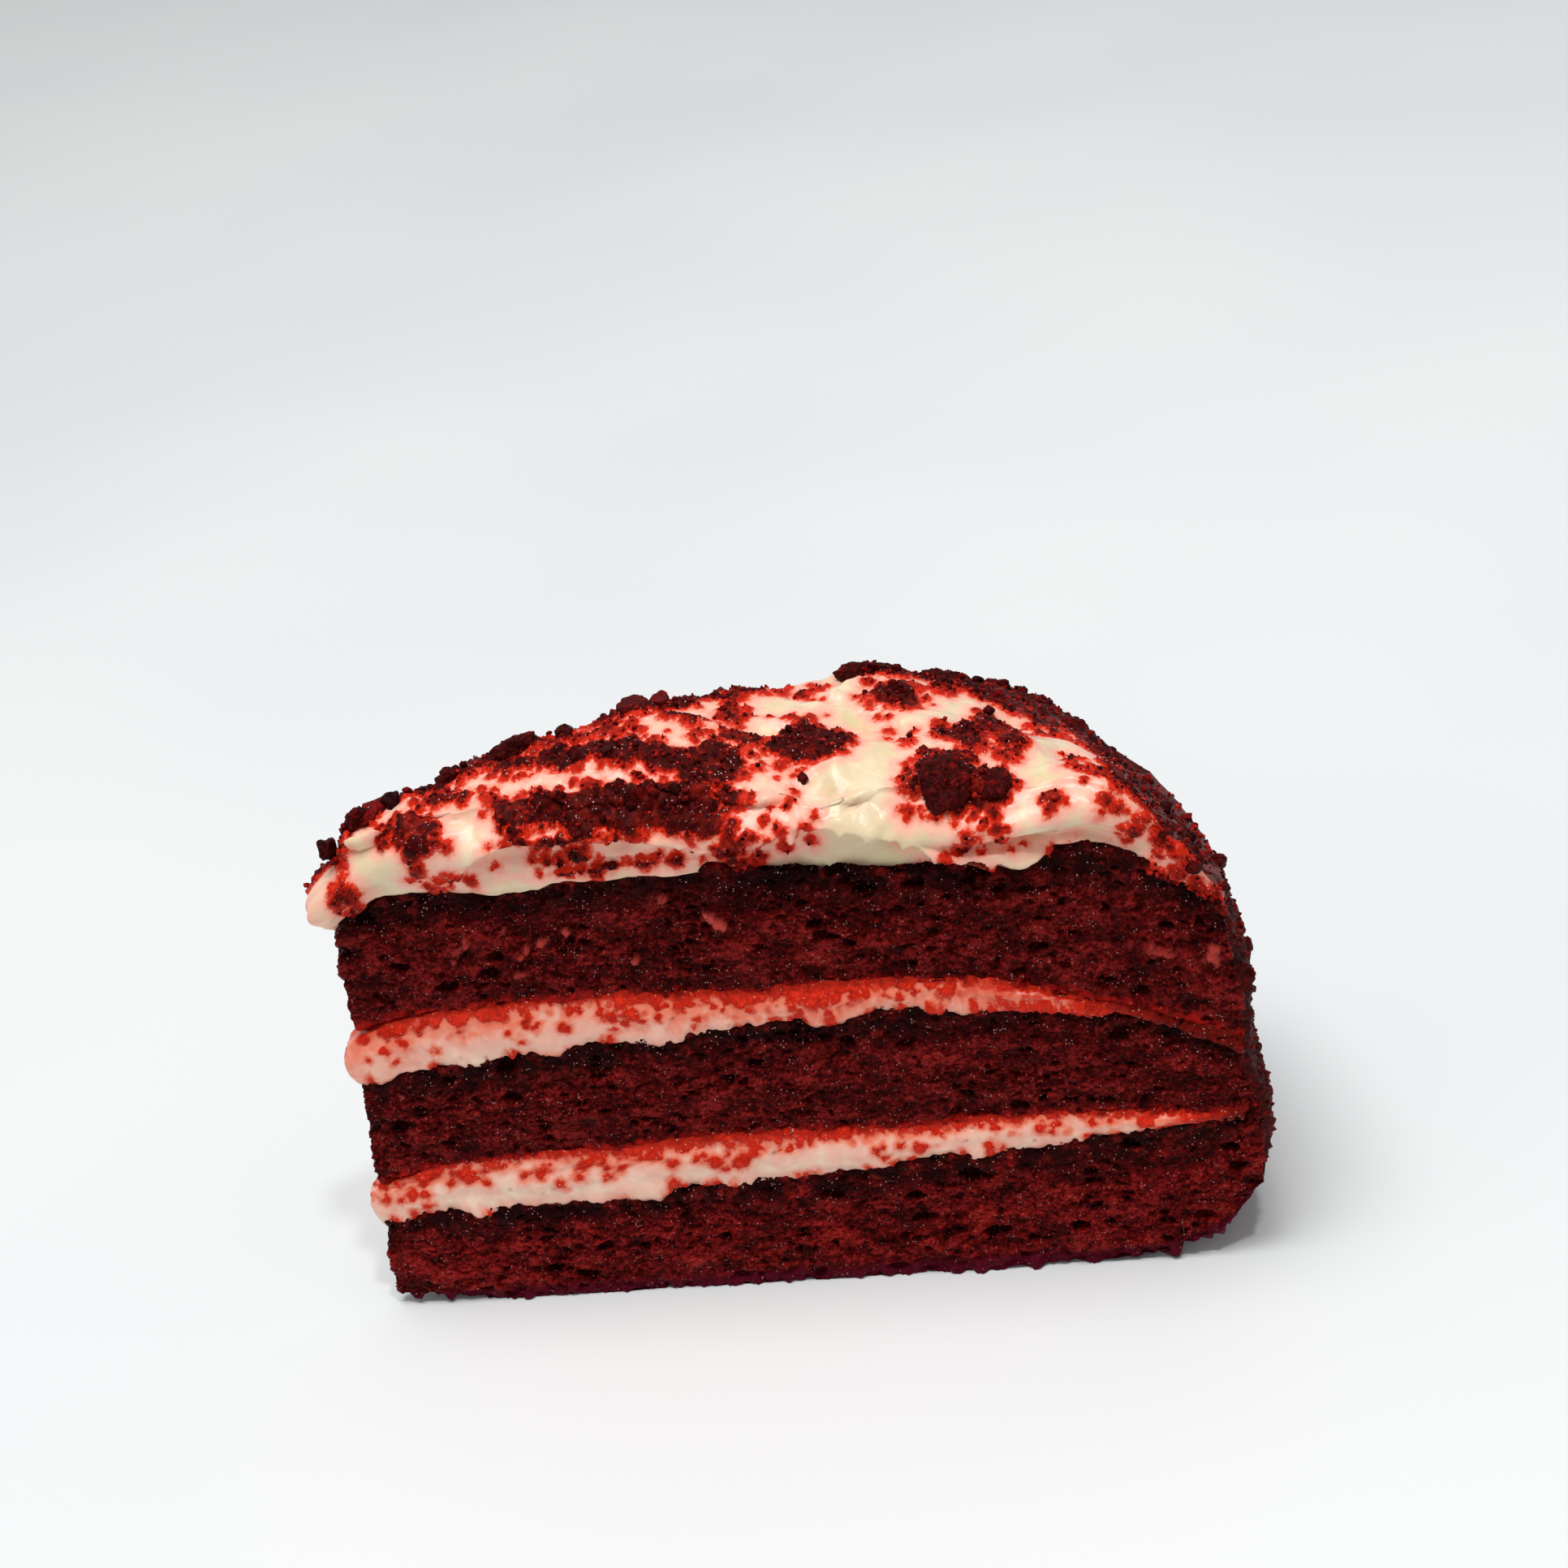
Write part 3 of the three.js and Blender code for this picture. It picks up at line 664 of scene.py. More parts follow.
# ---------- Frosting ----------
# Patches of crumb on the frosting's top, by distance along the near cut from the crossing and in from that
# cut, with how dark and thick the crumbs lie from 0 to 1.
TOP_PATCHES = (
    (13, 4, 4, 1.3, 60, 0.3), (15, 5, 2.8, 2.4, 0, 0.9), (23, 0.5, 5.5, 1.8, 0, 0.6),
    (27, 4, 5.5, 2, -8, 0.9), (31, 13, 13, 3.6, 24, 1.0), (49, 0, 19, 3.2, 0, 0.9),
    (46.5, 7.9, 17, 3.1, -7, 1.0), (61.5, 5, 4.4, 3.8, 0, 1.0), (44, 13, 6, 1.4, 0, 0.3),
    (54, 20.5, 5, 4, 20, 0.9), (57.5, 14.5, 3, 1.6, 0, 0.7), (61, 27, 3.4, 3, 24, 0.8),
    (62.5, 20, 1.6, 6, 20, 0.5), (64, 11, 6, 1.8, 0, 0.7), (74, 11, 6.2, 4.6, 20, 1.0),
    (73, 16, 2.6, 1.1, -20, 0.5), (70.5, 25.5, 1.2, 0.6, 0, 0.2), (83.5, 24, 3.6, 3.4, 0, 0.9),
    (86, 6, 2, 1.6, 0, 0.4), (85, 12, 1.6, 1.2, 0, 0.2), (90.5, 4, 5, 4.6, 0, 0.9),
    (97, 1.5, 3.6, 3.4, 0, 0.9), (94, 11, 2.6, 3.6, 0, 0.6), (93, 16, 5, 2.6, 20, 0.9),
    (96, 22, 3.6, 3, 40, 0.7), (98.5, 13, 1.6, 8, 0, 0.7), (95, 32, 4.4, 3.4, 0, 0.9),
    (96, 41, 4.4, 5, 0, 1.0), (89, 38, 1.2, 6, 0, 0.5), (82, 35, 3.6, 1.6, 0, 0.6),
    (101.5, 36, 2.2, 11, 0, 0.7), (106.5, 11, 0.8, 5, 0, 0.2), (112.5, 22, 2, 13, 6, 0.9),
    (106, 38, 3.4, 12, 10, 0.9), (72, 6, 1.1, 0.8, 0, 0.2), (78, 33, 1.4, 1, 0, 0.3),
)
# The same on the lip that hangs over the near cut, by distance along it and height.
LIP_PATCHES = (
    (12.5, 69, 1.4, 3.4, 0, 0.3), (23.5, 74.5, 4, 1.8, 0, 0.7), (22.5, 70.5, 1.4, 2, 0, 0.3),
    (28, 69, 2.4, 0.6, 10, 0.2), (33, 71, 2.4, 0.6, 10, 0.3), (38, 70.5, 3, 0.8, 0, 0.4),
    (44, 71, 2.4, 1, 0, 0.5), (51, 75.8, 16, 2.8, 0, 1.0), (41, 73.5, 5, 1.6, 0, 0.8),
    (59, 73.5, 6, 1.7, 0, 0.9), (64, 70.5, 2, 4.4, 0, 0.5), (68, 72, 1.6, 1.2, 0, 0.4),
    (86.5, 73.5, 1.4, 1.4, 0, 0.4), (92, 73.8, 4.4, 2.6, 0, 0.9), (93.5, 68.5, 2.6, 1.2, 40, 0.2),
    (97, 72, 1.6, 2.6, 0, 0.6), (104.5, 73, 1.3, 1, 0, 0.4), (110, 70.5, 1.3, 1.2, 0, 0.3),
    (113.5, 67, 1.2, 1.0, 0, 0.4), (118, 64.5, 1.4, 1.2, 0, 0.5),
)


UNSEEN_FROM = 0.82  # beyond this share of the way across, the crumbs lie at random
RIDGE_ACROSS = 0.75  # but thickest here


def patches_on(points, on_near, on_far):
    """How deep in a patch of crumb points of the frosting are, in millimetres, and how dark it is there."""
    along, inward, height = cut_place_of(points)
    top, top_dark = patch_depth(along, inward, TOP_PATCHES)
    lip, lip_dark = patch_depth(along, height, LIP_PATCHES)
    depth, dark = lerp(top, lip, on_near), lerp(top_dark, lip_dark, on_near)
    behind = step(inward - along * math.tan(TURN * UNSEEN_FROM), -2, 2)
    _, across = plan_of(points)
    unseen = 3.0 * fractal(points, 11, 2, 320) + 0.2 + 1.4 * bell(across, RIDGE_ACROSS, 0.1)
    depth = lerp(depth, unseen, np.maximum(behind * 0.8, on_far))
    dark = lerp(dark, 0.8, np.maximum(behind, on_far))
    return depth + 0.2 + 1.3 * fractal(points, 4.5, 2, 301) + 0.9 * fractal(points, 1.8, 2, 305), dark


# Crests that the knife has drawn up in the frosting: from where to where, each place along, in and up, and
# how high.
CRESTS = (
    ((77.8, 6, 76), (78.3, -2.4, 70.8), 1.1), ((101, 13, 74.5), (104.4, -0.4, 67), 1.2),
    ((91.5, -2.6, 69.5), (100.8, -0.8, 64.6), 0.8), ((66, 8, 77), (71, -2.4, 71.8), 0.7),
    ((70, 9, 76.5), (76, 27, 77), 0.8), ((87, 13, 76), (92, 30, 76), 0.8),
    ((107.5, 2, 71), (109, 20, 72), 0.7), ((10, 1, 74), (12.4, -1.5, 67.5), 0.6),
    ((26.4, -1, 77), (25.8, -1.8, 69.5), 0.6),
)
CREST_WIDTH = 1.6


def crest_height(points):
    """How far the crests raise points of the frosting."""
    flat = wander(points, 3, 0.8, 380) - APEX
    raised = 0
    for start, end, height in CRESTS:
        line = np.array(end) - start
        share = np.clip((flat - start) @ line / (line @ line), 0, 1)
        distance = np.linalg.norm(flat - start - share[..., None] * line, axis=-1)
        raised = np.maximum(raised, height * np.exp(-distance / CREST_WIDTH))
    return raised


# The lip's torn lower edge, above which the cream rolls out: place along the cut, and height.
LIP_LINE = np.array((
    (26, 67), (31, 72.4), (40, 73.2), (50, 73), (55, 71.6), (60, 70), (66, 70.6), (74.5, 71.8), (79, 70.6),
    (84, 69), (91, 65.4), (104, 63),
))
LIP_START, LIP_END = 14, 101  # along the cut; before and beyond these the frosting keeps the solid's shape
LIP_HEIGHT = 3.8  # the lip rolls back to the frosting's own shape over this height
LIP_FRONT = -2.7  # how far in from the cut the lip's front lies
SCRAPED_BACK = np.array(((31, -1.3), (55, -1.1), (66, 0.9)))  # and the cream below: place along, how far in
PLAIN_BULGE = 1.5  # before the lip, the frosting's wall swells this far past the cut
SPIKES = (67.5, 71.5, 77.7, 81, 85.5, 89, 96)  # where cream is drawn down in a tip
SPIKE_LENGTH = 1.2
POINT_NOTCH, NOTCH_HEIGHT = 3.2, 71  # over the point the frosting is pinched in this far, at this height
POINT_DROOP = 2.0  # and below the notch it droops by this much


def torn_lip(grid, near_column):
    """The frosting's near wall: plain at first, then a lip with a ragged edge, scraped back below it."""
    along, inward, height = cut_place_of(grid.points)
    level = grid.points * (1, 0, 0)
    foot = np.interp(along, *LIP_LINE.T) + 0.6 * noise(level, 3, 351) + 0.35 * noise(level, 1.1, 352)
    above = np.clip((height - foot) / LIP_HEIGHT, 0, 1)
    for place in SPIKES:
        foot = foot - SPIKE_LENGTH * bell(along, place + 0.4 * noise(grid.points, 3, 353), 0.5)
    wall = near_column * (grid.lower == 0) * (1 - step(grid.upper, 0.02, 0.12))
    front = LIP_FRONT + 0.4 * noise(grid.points, 2, 354) + 4 * above**2
    front = np.minimum(inward, front)
    back = np.interp(along, *SCRAPED_BACK.T) + 0.5 * noise(grid.points, 3, 355)
    back = np.minimum(back, 0.2 + 0.5 * (foot - height))
    torn = lerp(back, front, step(height - foot, -0.15, 0.25))
    plain = -0.2 - PLAIN_BULGE * np.sin(np.pi * grid.up)
    started = step(along, LIP_LINE[0, 0] - 1, LIP_LINE[1, 0])
    target = lerp(lerp(plain, inward, step(grid.up, 0.7, 1)), torn, started)
    share = wall * step(along, LIP_START, LIP_START + 6) * fade(along, LIP_END, LIP_END + 4)
    grid.points[..., 1] += share * (target - inward)


def lobe_at_point(grid):
    """The lobe of frosting that droops over the slice's point, pinched in above."""
    height = grid.points[..., 2]
    radius, _ = plan_of(grid.points)
    notch = POINT_NOTCH * bell(height, NOTCH_HEIGHT, 2.2) * fade(radius, 9, 15) * (grid.lower == 0)
    droop = POINT_DROOP * fade(radius, 9, 17) * (1 - step(height, NOTCH_HEIGHT - 4, NOTCH_HEIGHT + 1))
    grid.points = grid.points + (polar(1, 0.5) - APEX) * notch[..., None]
    grid.lift(-droop)


def spread_relief(points, wall):
    """How far the frosting stands out: the knife's waves and creases, and torn cream on its walls."""
    swayed = wander(points, 6, 2, 348)
    knife = 0.4 * noise(swayed * (0.5, 1.4, 1), 5, 340) + 0.9 * fractal(points, 12, 2, 344)
    crease = 0.6 - 1.9 * np.hypot(fractal(swayed * (0.7, 1, 1), 8, 2, 346), 0.12)
    crease = crease + 0.35 - 0.9 * np.hypot(noise(swayed * (0.6, 1, 1), 3.4, 349), 0.15)
    torn = 0.3 * fractal(points * (0.8, 0.8, 1), 2.6, 3, 350)
    return knife + crease * (1 - wall) + torn * (0.3 + 0.7 * wall)


def crumb_cover_on(points, radius, above_foot, on_near, on_far):
    """How deep points of the frosting lie in crumb and how dark it is: patches, soaked foot and shoulder."""
    depth, dark = patches_on(points, on_near, on_far)
    soaked = -1.5 - 0.8 * above_foot + 1.2 * fractal(points, 2.4, 2, 358)
    behind_cut = step(cut_place_of(points)[1], 0.4, 2.4)
    shoulder = -2.2 + 4.2 * step(radius, 104, 114) * behind_cut + 1.2 * fractal(points, 2.4, 2, 359)
    shoulder = shoulder + 2.2 * step(radius, 110, 119) * (1 - behind_cut)
    dark = lerp(dark, 0.85, step(radius, 105, 112) * behind_cut)
    return np.maximum(depth, np.maximum(soaked, shoulder)), dark


FROSTING_SPLITS = (13, 7, 13, 7)  # equal on the two cuts, so that they meet on the middle line
UNDER_ROWS, WALL_ROWS, TOP_ROWS = 2, 44, 62
FROSTING_INSET = 2.4  # its upper face is taken from further in, past the roll of the lip
FROSTING_CRUMBS, CRUMB_SIZE = 5200, 0.6


def frosting_piece(material):
    """The frosting with its crumbs. Gives its grid, and how far inside the crumbs on it each point lies."""
    grid = Layer("frosting", FROSTING_INSET).grid(FROSTING_SPLITS, UNDER_ROWS, WALL_ROWS, TOP_ROWS)
    near_column = np.arange(grid.up.shape[1]) < SIDE_STEPS[0] * FROSTING_SPLITS[0]
    wall_height = grid.points[UNDER_ROWS + WALL_ROWS, :, 2] - grid.points[UNDER_ROWS, :, 2]
    seen = (1 - step(grid.lower, 0, 0.3)) * lerp(step(wall_height, 1, 5), 1, step(grid.upper, 0.02, 0.3))
    on_near = fade(cut_place_of(grid.points)[1], -0.2, 1.2)
    on_far = step((grid.points - APEX) @ FAR_OUT, -1.2, 0.2)
    shape = spread_relief(grid.points, np.maximum(on_near, on_far))
    grid.push(shape * seen)
    torn_lip(grid, near_column)
    lobe_at_point(grid)
    raised = crest_height(grid.points)
    grid.push(raised * seen)

    radius, _ = plan_of(grid.points)
    above_foot = grid.points[..., 2] - grid.points[UNDER_ROWS, :, 2]
    depth, dark = crumb_cover_on(grid.points, radius, above_foot, on_near, on_far)
    density = (step(depth, -0.7, 0.7) + 0.04 * step(depth, -3, -0.5) + 0.003) * (grid.lower == 0)
    laid, number = lay_crumbs(grid, density, FROSTING_CRUMBS, CRUMB_SIZE, 361)
    red = np.maximum(laid, depth - 0.8)
    knob = knobs(wander(grid.points, 0.8, 0.2, 363), 0.75, 0.45, 360)
    clump = knobs(wander(grid.points, 1.6, 0.4, 373), 1.7, 0.6, 370)
    relief = step(red, -0.2, 0.4) * (0.05 + 0.22 * knob) + 0.4 * step(laid, -0.1, 0.6)
    grid.push((relief + step(depth, 0.2, 1.8) * dark * (0.4 + 0.4 * clump)) * seen)
    crumb_middle = 0.4 * step(laid, 0.15, 0.5)
    grid.marks = {
        "red": red,
        "stain": np.maximum(np.maximum(laid, depth - 0.6), -2.4 + 1.6 * fade(radius, 6, 13)),
        "dark": np.clip(step(depth, 0, 1.0) * (0.3 + 0.7 * dark) + 0.3 * (number - 0.7) + crumb_middle, 0, 1),
        # painted shade: knob tops lighter, the furrows between them darker
        "tone_and_shade": knob,
        "hollow": step(-shape - 1.4 * raised, -0.4, 0.9) * (1 - 0.5 * on_near),
    }
    ragged_edges(grid, 390, 0.3)
    grid_piece("frosting_cream", grid, material, "frosting")
    return grid, red


# ---------- Crumbs packed on the rim ----------
COAT_CENTRE_RADIUS, COAT_CENTRE_HEIGHT = 98.0, 34.0
COAT_ANGLES = np.radians(np.arange(-60, 100, 1.0))
COAT_SAMPLES = (31, 14)  # up the coat and across it
COAT_GRID = (164, 120)
COAT_DEPTH = 2.6  # the crust of crumbs reaches this far in, so that nothing shows behind it
FRAYED_TOP = 0.6  # above this share of its height it breaks up into single crumbs
FROSTED_FROM, FROSTED_TO = 48.0, 56.0  # over these heights it draws back behind the frosting's cut faces
DRAWN_BACK = 2.2
SUNK = 0.9  # the crust's own surface lies this far inside the solid's, under its knobs
SHOULDER_SUNK = 1.2  # and further on the shoulder, where the crumbs lie in a thinner layer
BARE_SUNK = 1.9  # and where there is none


def coat_section(solid, across):
    """The coat's outer line in one upright section, evenly spaced from its foot to its upper edge."""
    centre = polar(COAT_CENTRE_RADIUS, across, COAT_CENTRE_HEIGHT)
    outward = polar(1, across) - APEX
    line = []
    for angle in COAT_ANGLES:
        way = outward * math.cos(angle) + UP * math.sin(angle)
        hit = solid.hit(centre + way * FAR_AWAY, -way)
        if hit is not None and (hit - centre) @ way > 0:
            line.append(hit)
    line = np.array(line)
    length = np.concatenate([[0], np.cumsum(np.linalg.norm(np.diff(line, axis=0), axis=1))])
    share = np.linspace(0, length[-1], COAT_SAMPLES[0])
    return np.stack([np.interp(share, length, line[:, k]) for k in range(3)], axis=-1)


def shell_faces(rows, columns):
    """The faces of a closed shell, whose outer sheet of points comes first and then its inner one."""
    count = rows * columns
    index = np.arange(count).reshape(rows, columns)
    corners = (index[:-1, :-1], index[:-1, 1:], index[1:, 1:], index[1:, :-1])
    front = np.stack(corners, axis=-1).reshape(-1, 4)
    edge = np.concatenate([index[0, :], index[1:, -1], index[-1, -2::-1], index[-2:0:-1, 0]])
    after = np.roll(edge, -1)
    sides = np.stack([edge, edge + count, after + count, after], axis=-1)
    return np.concatenate([front, front[:, ::-1] + count, sides])


def coat_piece(material):
    """The crust of crumbs. Gives where loose crumbs would rest on it, which way is out, and how far up it."""
    solid = Solid("crumb_coat")
    sections = [coat_section(solid, across) for across in np.linspace(0.004, 0.996, COAT_SAMPLES[1])]
    outer = np.array(sections).transpose(1, 0, 2)
    for axis in (0, 1):
        outer = between(outer, np.linspace(0, COAT_SAMPLES[axis] - 1, COAT_GRID[axis]), axis)
    out = unit(np.cross(np.gradient(outer, axis=1), np.gradient(outer, axis=0)))
    up, across = np.meshgrid(*(np.linspace(0, 1, count) for count in COAT_GRID), indexing="ij")
    place = wander(outer, 1.2, 0.4, 405)
    relief = 0.7 * knobs(place, 1.5, 0.7, 410) + 0.35 * knobs(place, 0.7, 0.6, 420)
    relief = relief + 0.8 * fractal(outer, 4, 2, 430)
    bare = step(up, FRAYED_TOP, 1.0) + 0.9 * fractal(outer, 3.2, 3, 440) - 0.25
    bare = np.maximum(step(bare, 0.0, 0.5), 1 - step(np.minimum(across, 1 - across), 0, 0.03 + 0.02 * bare))
    bare = np.maximum(bare, 1 - step(up, 0, 0.04))
    frosted = step(outer[..., 2] + 9 * across, FROSTED_FROM, FROSTED_TO)
    side = step(across, 0.85, 1) - step(1 - across, 0.85, 1)
    outer = outer - unit(np.gradient(outer, axis=1)) * (DRAWN_BACK * frosted * side)[..., None]
    height = relief - SUNK - SHOULDER_SUNK * step(up, 0.45, 0.65) - BARE_SUNK * bare
    sheets = [outer + out * level[..., None] for level in (height, np.minimum(height - 0.3, -COAT_DEPTH))]
    points = np.concatenate(sheets).reshape(-1, 3)
    # painted shade: the crust's knobs lighter, its hollows darker
    marks = {"tone_and_shade": np.tile(step(relief, -0.4, 1.3).ravel(), 2)}
    faces = shell_faces(*COAT_GRID)
    make_piece("rim_crust", points, faces, marks, material, ("crumb_coat",))
    return resting_places(outer, out, height), out, up


def resting_places(places, outs, heights):
    """Where crumbs would rest above places on the coat: on the crust, or on frosting that covers it."""
    frosting = Solid("frosting")
    rests = []
    for place, way, level in zip(places.reshape(-1, 3), outs.reshape(-1, 3), heights.ravel()):
        hit = frosting.hit(place + way * 5, -way)
        rests.append(place + way * (level if hit is None else max(level, (hit - place) @ way)))
    return np.array(rests).reshape(places.shape)


# ---------- Loose lumps and crumbs ----------
def icosphere(level):
    ball = bmesh.new()
    bmesh.ops.create_icosphere(ball, subdivisions=level, radius=1)
    points = np.array([v.co for v in ball.verts])
    faces = np.array([[v.index for v in face.verts] for face in ball.faces])
    ball.free()
    return points, faces


LARGE_LUMP = 8.5  # lumps longer than this get a finer mesh


def lump_piece(node, seed, material):
    """A knobbly clump of crumbs over its CAD solid."""
    solid = Solid(node)
    low, high = box_of(node)
    centre = (low + high) / 2
    ways, faces = icosphere(6 if max(high - low) > LARGE_LUMP else 5)
    hits = np.array([solid.hit(centre + way * 40, -way) for way in ways])
    out = unit(hits - centre)
    relief = 0.4 * knobs(hits, 1.6, 0.8, seed) + 0.22 * knobs(hits, 0.7, 0.6, seed + 10)
    points = hits + out * (relief - 0.5 + 0.3 * noise(hits, 2.5, seed + 20))[:, None]
    # painted shade: knobs lighter, furrows darker
    marks = {"tone_and_shade": step(relief, -0.2, 0.7)}
    make_piece(node.replace("crumb_lump", "clump"), points, faces, marks, material, (node,))


def loose_crumbs(name, places, outs, sizes, material, level):
    """Many small uneven crumbs as one mesh, half sunk in what they lie on."""
    ball, faces = icosphere(level)
    points, all_faces, tones_and_shades = [], [], []
    for i, (place, out, size) in enumerate(zip(places, outs, sizes)):
        uneven = 1 + 0.4 * noise(ball * 1.3 + i * 3.7, 0.9, 500)[:, None]
        if level > 2:
            uneven = uneven + 0.3 * fractal(ball * size, 1.2, 2, 505)[:, None]
        shape = ball * uneven * rng.uniform(0.7, 1.3, 3)
        points.append(place + out * size * 0.15 + shape * size / 2)
        all_faces.append(faces + i * len(ball))
        # each crumb's own random tone, with painted light on its upper side and painted shade below
        tones_and_shades.append(np.full(len(ball), rng.random()) * step(shape[:, 2], -1, 0.6))
    points, all_faces, tones_and_shades = (np.concatenate(part) for part in (points, all_faces, tones_and_shades))
    make_piece(name, points, all_faces, {"tone_and_shade": tones_and_shades}, material)


# Large crumbs on the frosting: distance along the near cut from the crossing, in from it, and size.
LARGE_CRUMBS = (
    (10.5, 1.5, 2.8), (12.5, 4.6, 2.2), (16, 5.5, 3.4), (19, 6.5, 2.4), (26, 9.5, 3.6), (29, 11, 2.8),
    (41, 15, 2.6), (50, 18.5, 3.2), (53, 20.5, 3.8), (56, 22, 2.6), (60, 24, 2.2), (66, 27, 2.2),
    (81, 31, 2.4), (104, 37, 3.0), (88, 9, 1.8), (73, 4.5, 1.6),
)


def large_crumbs():
    """Where the large crumbs lie on the frosting, and their sizes."""
    solid = Solid("frosting")
    places = [solid.hit(APEX + (x, y, FAR_AWAY), -UP) for x, y, _ in LARGE_CRUMBS]
    return np.array(places), np.tile(UP, (len(places), 1)), [size for *_, size in LARGE_CRUMBS]


THICK_COUNTS, THIN_COUNTS = (460, 280), (2700, 500)  # of loose crumbs on the frosting and on the rim
THICK_SIZE, THIN_SIZE = -0.2, -0.8  # the logarithms of their usual sizes


def scatter_crumbs(grid, red, coat, dark_material, red_material):
    """Loose crumbs where crumbs cover the frosting, and on the rim, most along the crust's upper edge."""
    top = (grid.lower == 0) * area_of(grid)
    rests, out, up = coat
    edge = step(up, 0.4, 0.6) * step(1 - up, 0, 0.3)

    def scattered(name, weights, counts, on_rim, size, material, level):
        on_top = picked(grid.points, grid.out, weights * top, counts[0])
        on_coat = picked(rests, out, edge + on_rim, counts[1])
        places, outs = (np.concatenate(pair) for pair in zip(on_top, on_coat))
        loose_crumbs(name, places, outs, rng.lognormal(size, 0.3, len(places)), material, level)

    scattered("crumbs_thick", step(red, 0.3, 1.2), THICK_COUNTS, 0.3, THICK_SIZE, dark_material, 2)
    loose_crumbs("crumbs_large", *large_crumbs(), dark_material, 4)
    fresh = step(red, 0.1, 0.5) * (1 - 0.7 * grid.marks["dark"])
    scattered("crumbs_thin", fresh, THIN_COUNTS, 0.1, THIN_SIZE, red_material, 1)


# ---------- Materials ----------
class Look:
    """A procedural material as it is put together. Sizes are millimetres."""

    def __init__(self, name):
        self.material = bpy.data.materials.new(name)
        self.material.use_nodes = True
        self.tree = self.material.node_tree
        self.shader = self.tree.nodes["Principled BSDF"]

    def feed(self, socket, value):
        """Links a socket to another node's output, or sets it to a number or a colour."""
        if isinstance(value, bpy.types.NodeSocket):
            self.tree.links.new(value, socket)
        else:
            socket.default_value = (*value, 1) if socket.type == "RGBA" else value

    def node(self, kind, output, inputs, **settings):
        """A new node's output, with its inputs fed by name or number."""
        node = self.tree.nodes.new("ShaderNode" + kind)
        for key, value in settings.items():
            setattr(node, key, value)
        for key, value in inputs.items():
            self.feed(node.inputs[key], value)
        return node.outputs[output]

    def mark(self, name):
        """One of the mesh's float attributes."""
        return self.node("Attribute", "Fac", {}, attribute_name=name)

    def place(self, size, stretch=(1, 1, 1), sway=0.0):
        """Object space with the given size as its unit, swayed about to make shapes in it less regular."""
        place = self.node("TexCoord", "Object", {})
        place = self.node("Mapping", 0, {"Vector": place, "Scale": tuple(s / (size * MM) for s in stretch)})
        if not sway:
            return place
        shift = self.node("TexNoise", "Color", {"Vector": place, "Scale": 0.6})
        return self.node("VectorMath", 0, {0: shift, 1: (sway,) * 3, 2: place}, operation="MULTIPLY_ADD")

    def noise(self, size, detail=3, stretch=(1, 1, 1)):
        place = self.place(size, stretch)
        return self.node("TexNoise", "Fac", {"Vector": place, "Scale": 1, "Detail": detail})

    def cells(self, size, stretch=(1, 1, 1), sway=0.0):
        """Grains of a size: the distance from a grain's centre, and its random number from 0 to 1."""
        place = self.place(size, stretch, sway)
        colour = self.node("TexVoronoi", "Color", {"Vector": place, "Scale": 1})
        distance = self.node("TexVoronoi", "Distance", {"Vector": place, "Scale": 1})
        return distance, self.node("SeparateColor", "Red", {"Color": colour})

    def maths(self, how, *values, clamp=False):
        return self.node("Math", 0, dict(enumerate(values)), operation=how, use_clamp=clamp)

    def product(self, first, *others):
        for other in others:
            first = self.maths("MULTIPLY", first, other)
        return first

    def total(self, start, *parts):
        """A number plus the sum of values times their weights."""
        for value, weight in parts:
            start = self.maths("MULTIPLY_ADD", value, weight, start)
        return start

    def span(self, value, low, high):
        """0 below low, 1 above high, and a smooth rise in between."""
        inputs = {"Value": value, "From Min": low, "From Max": high}
        return self.node("MapRange", "Result", inputs, interpolation_type="SMOOTHSTEP")

    def mix(self, share, first, second):
        return self.node("Mix", 2, {0: share, 6: first, 7: second}, data_type="RGBA")

    def ramp(self, value, *stops):
        """A colour from a ramp of (place, colour) stops."""
        colour = self.node("ValToRGB", "Color", {"Fac": value})
        elements = self.tree.nodes[-1].color_ramp.elements
        while len(elements) < len(stops):
            elements.new(0.5)
        for element, (place, stop) in zip(elements, stops):
            element.position = place
            element.color = (*stop, 1)
        return colour

    def bump(self, height, distance, strength):
        inputs = {"Height": height, "Distance": distance * MM, "Strength": strength}
        self.feed(self.shader.inputs["Normal"], self.node("Bump", "Normal", inputs))

    def finish(self, colour, **settings):
        """Feeds the shader's colour and its other sockets, and gives the material."""
        self.feed(self.shader.inputs["Base Color"], colour)
        for key, value in settings.items():
            self.feed(self.shader.inputs[key.replace("_", " ")], value)
        return self.material


BLACK_RED = (0.007, 0.0, 0.0001)
DEEP_RED = (0.026, 0.0001, 0.0003)
SPONGE_RED = (0.085, 0.001, 0.0012)
LIGHT_RED = (0.27, 0.014, 0.012)
BASE_RED_LIT_FROM_BELOW = (0.12, 0.0018, 0.002)  # painted light: the lowest sponge is made a little lighter than the two above, for light thrown up from below
BASE_LIGHT_RED_LIT_FROM_BELOW = (0.34, 0.016, 0.013)
SOAKED_RED = (0.42, 0.008, 0.005)
GLINT = (0.6, 0.34, 0.3)
SMEAR = (0.5, 0.06, 0.05)
STAIN_RED = (0.6, 0.018, 0.004)
BRIGHT_CRUMB = (0.85, 0.036, 0.013)
CRUMB_DARK = (0.065, 0.001, 0.0012)
CRUMB_RED = (0.24, 0.004, 0.0028)
FINE_CRUMB = (0.26, 0.005, 0.004)
LIGHT_FINE_CRUMB = (0.62, 0.03, 0.012)
SKIN = (0.09, 0.0022, 0.011)
PINK = (0.9, 0.47, 0.36)
SALMON = (0.85, 0.2, 0.11)
SEEP_RED = (0.66, 0.048, 0.015)
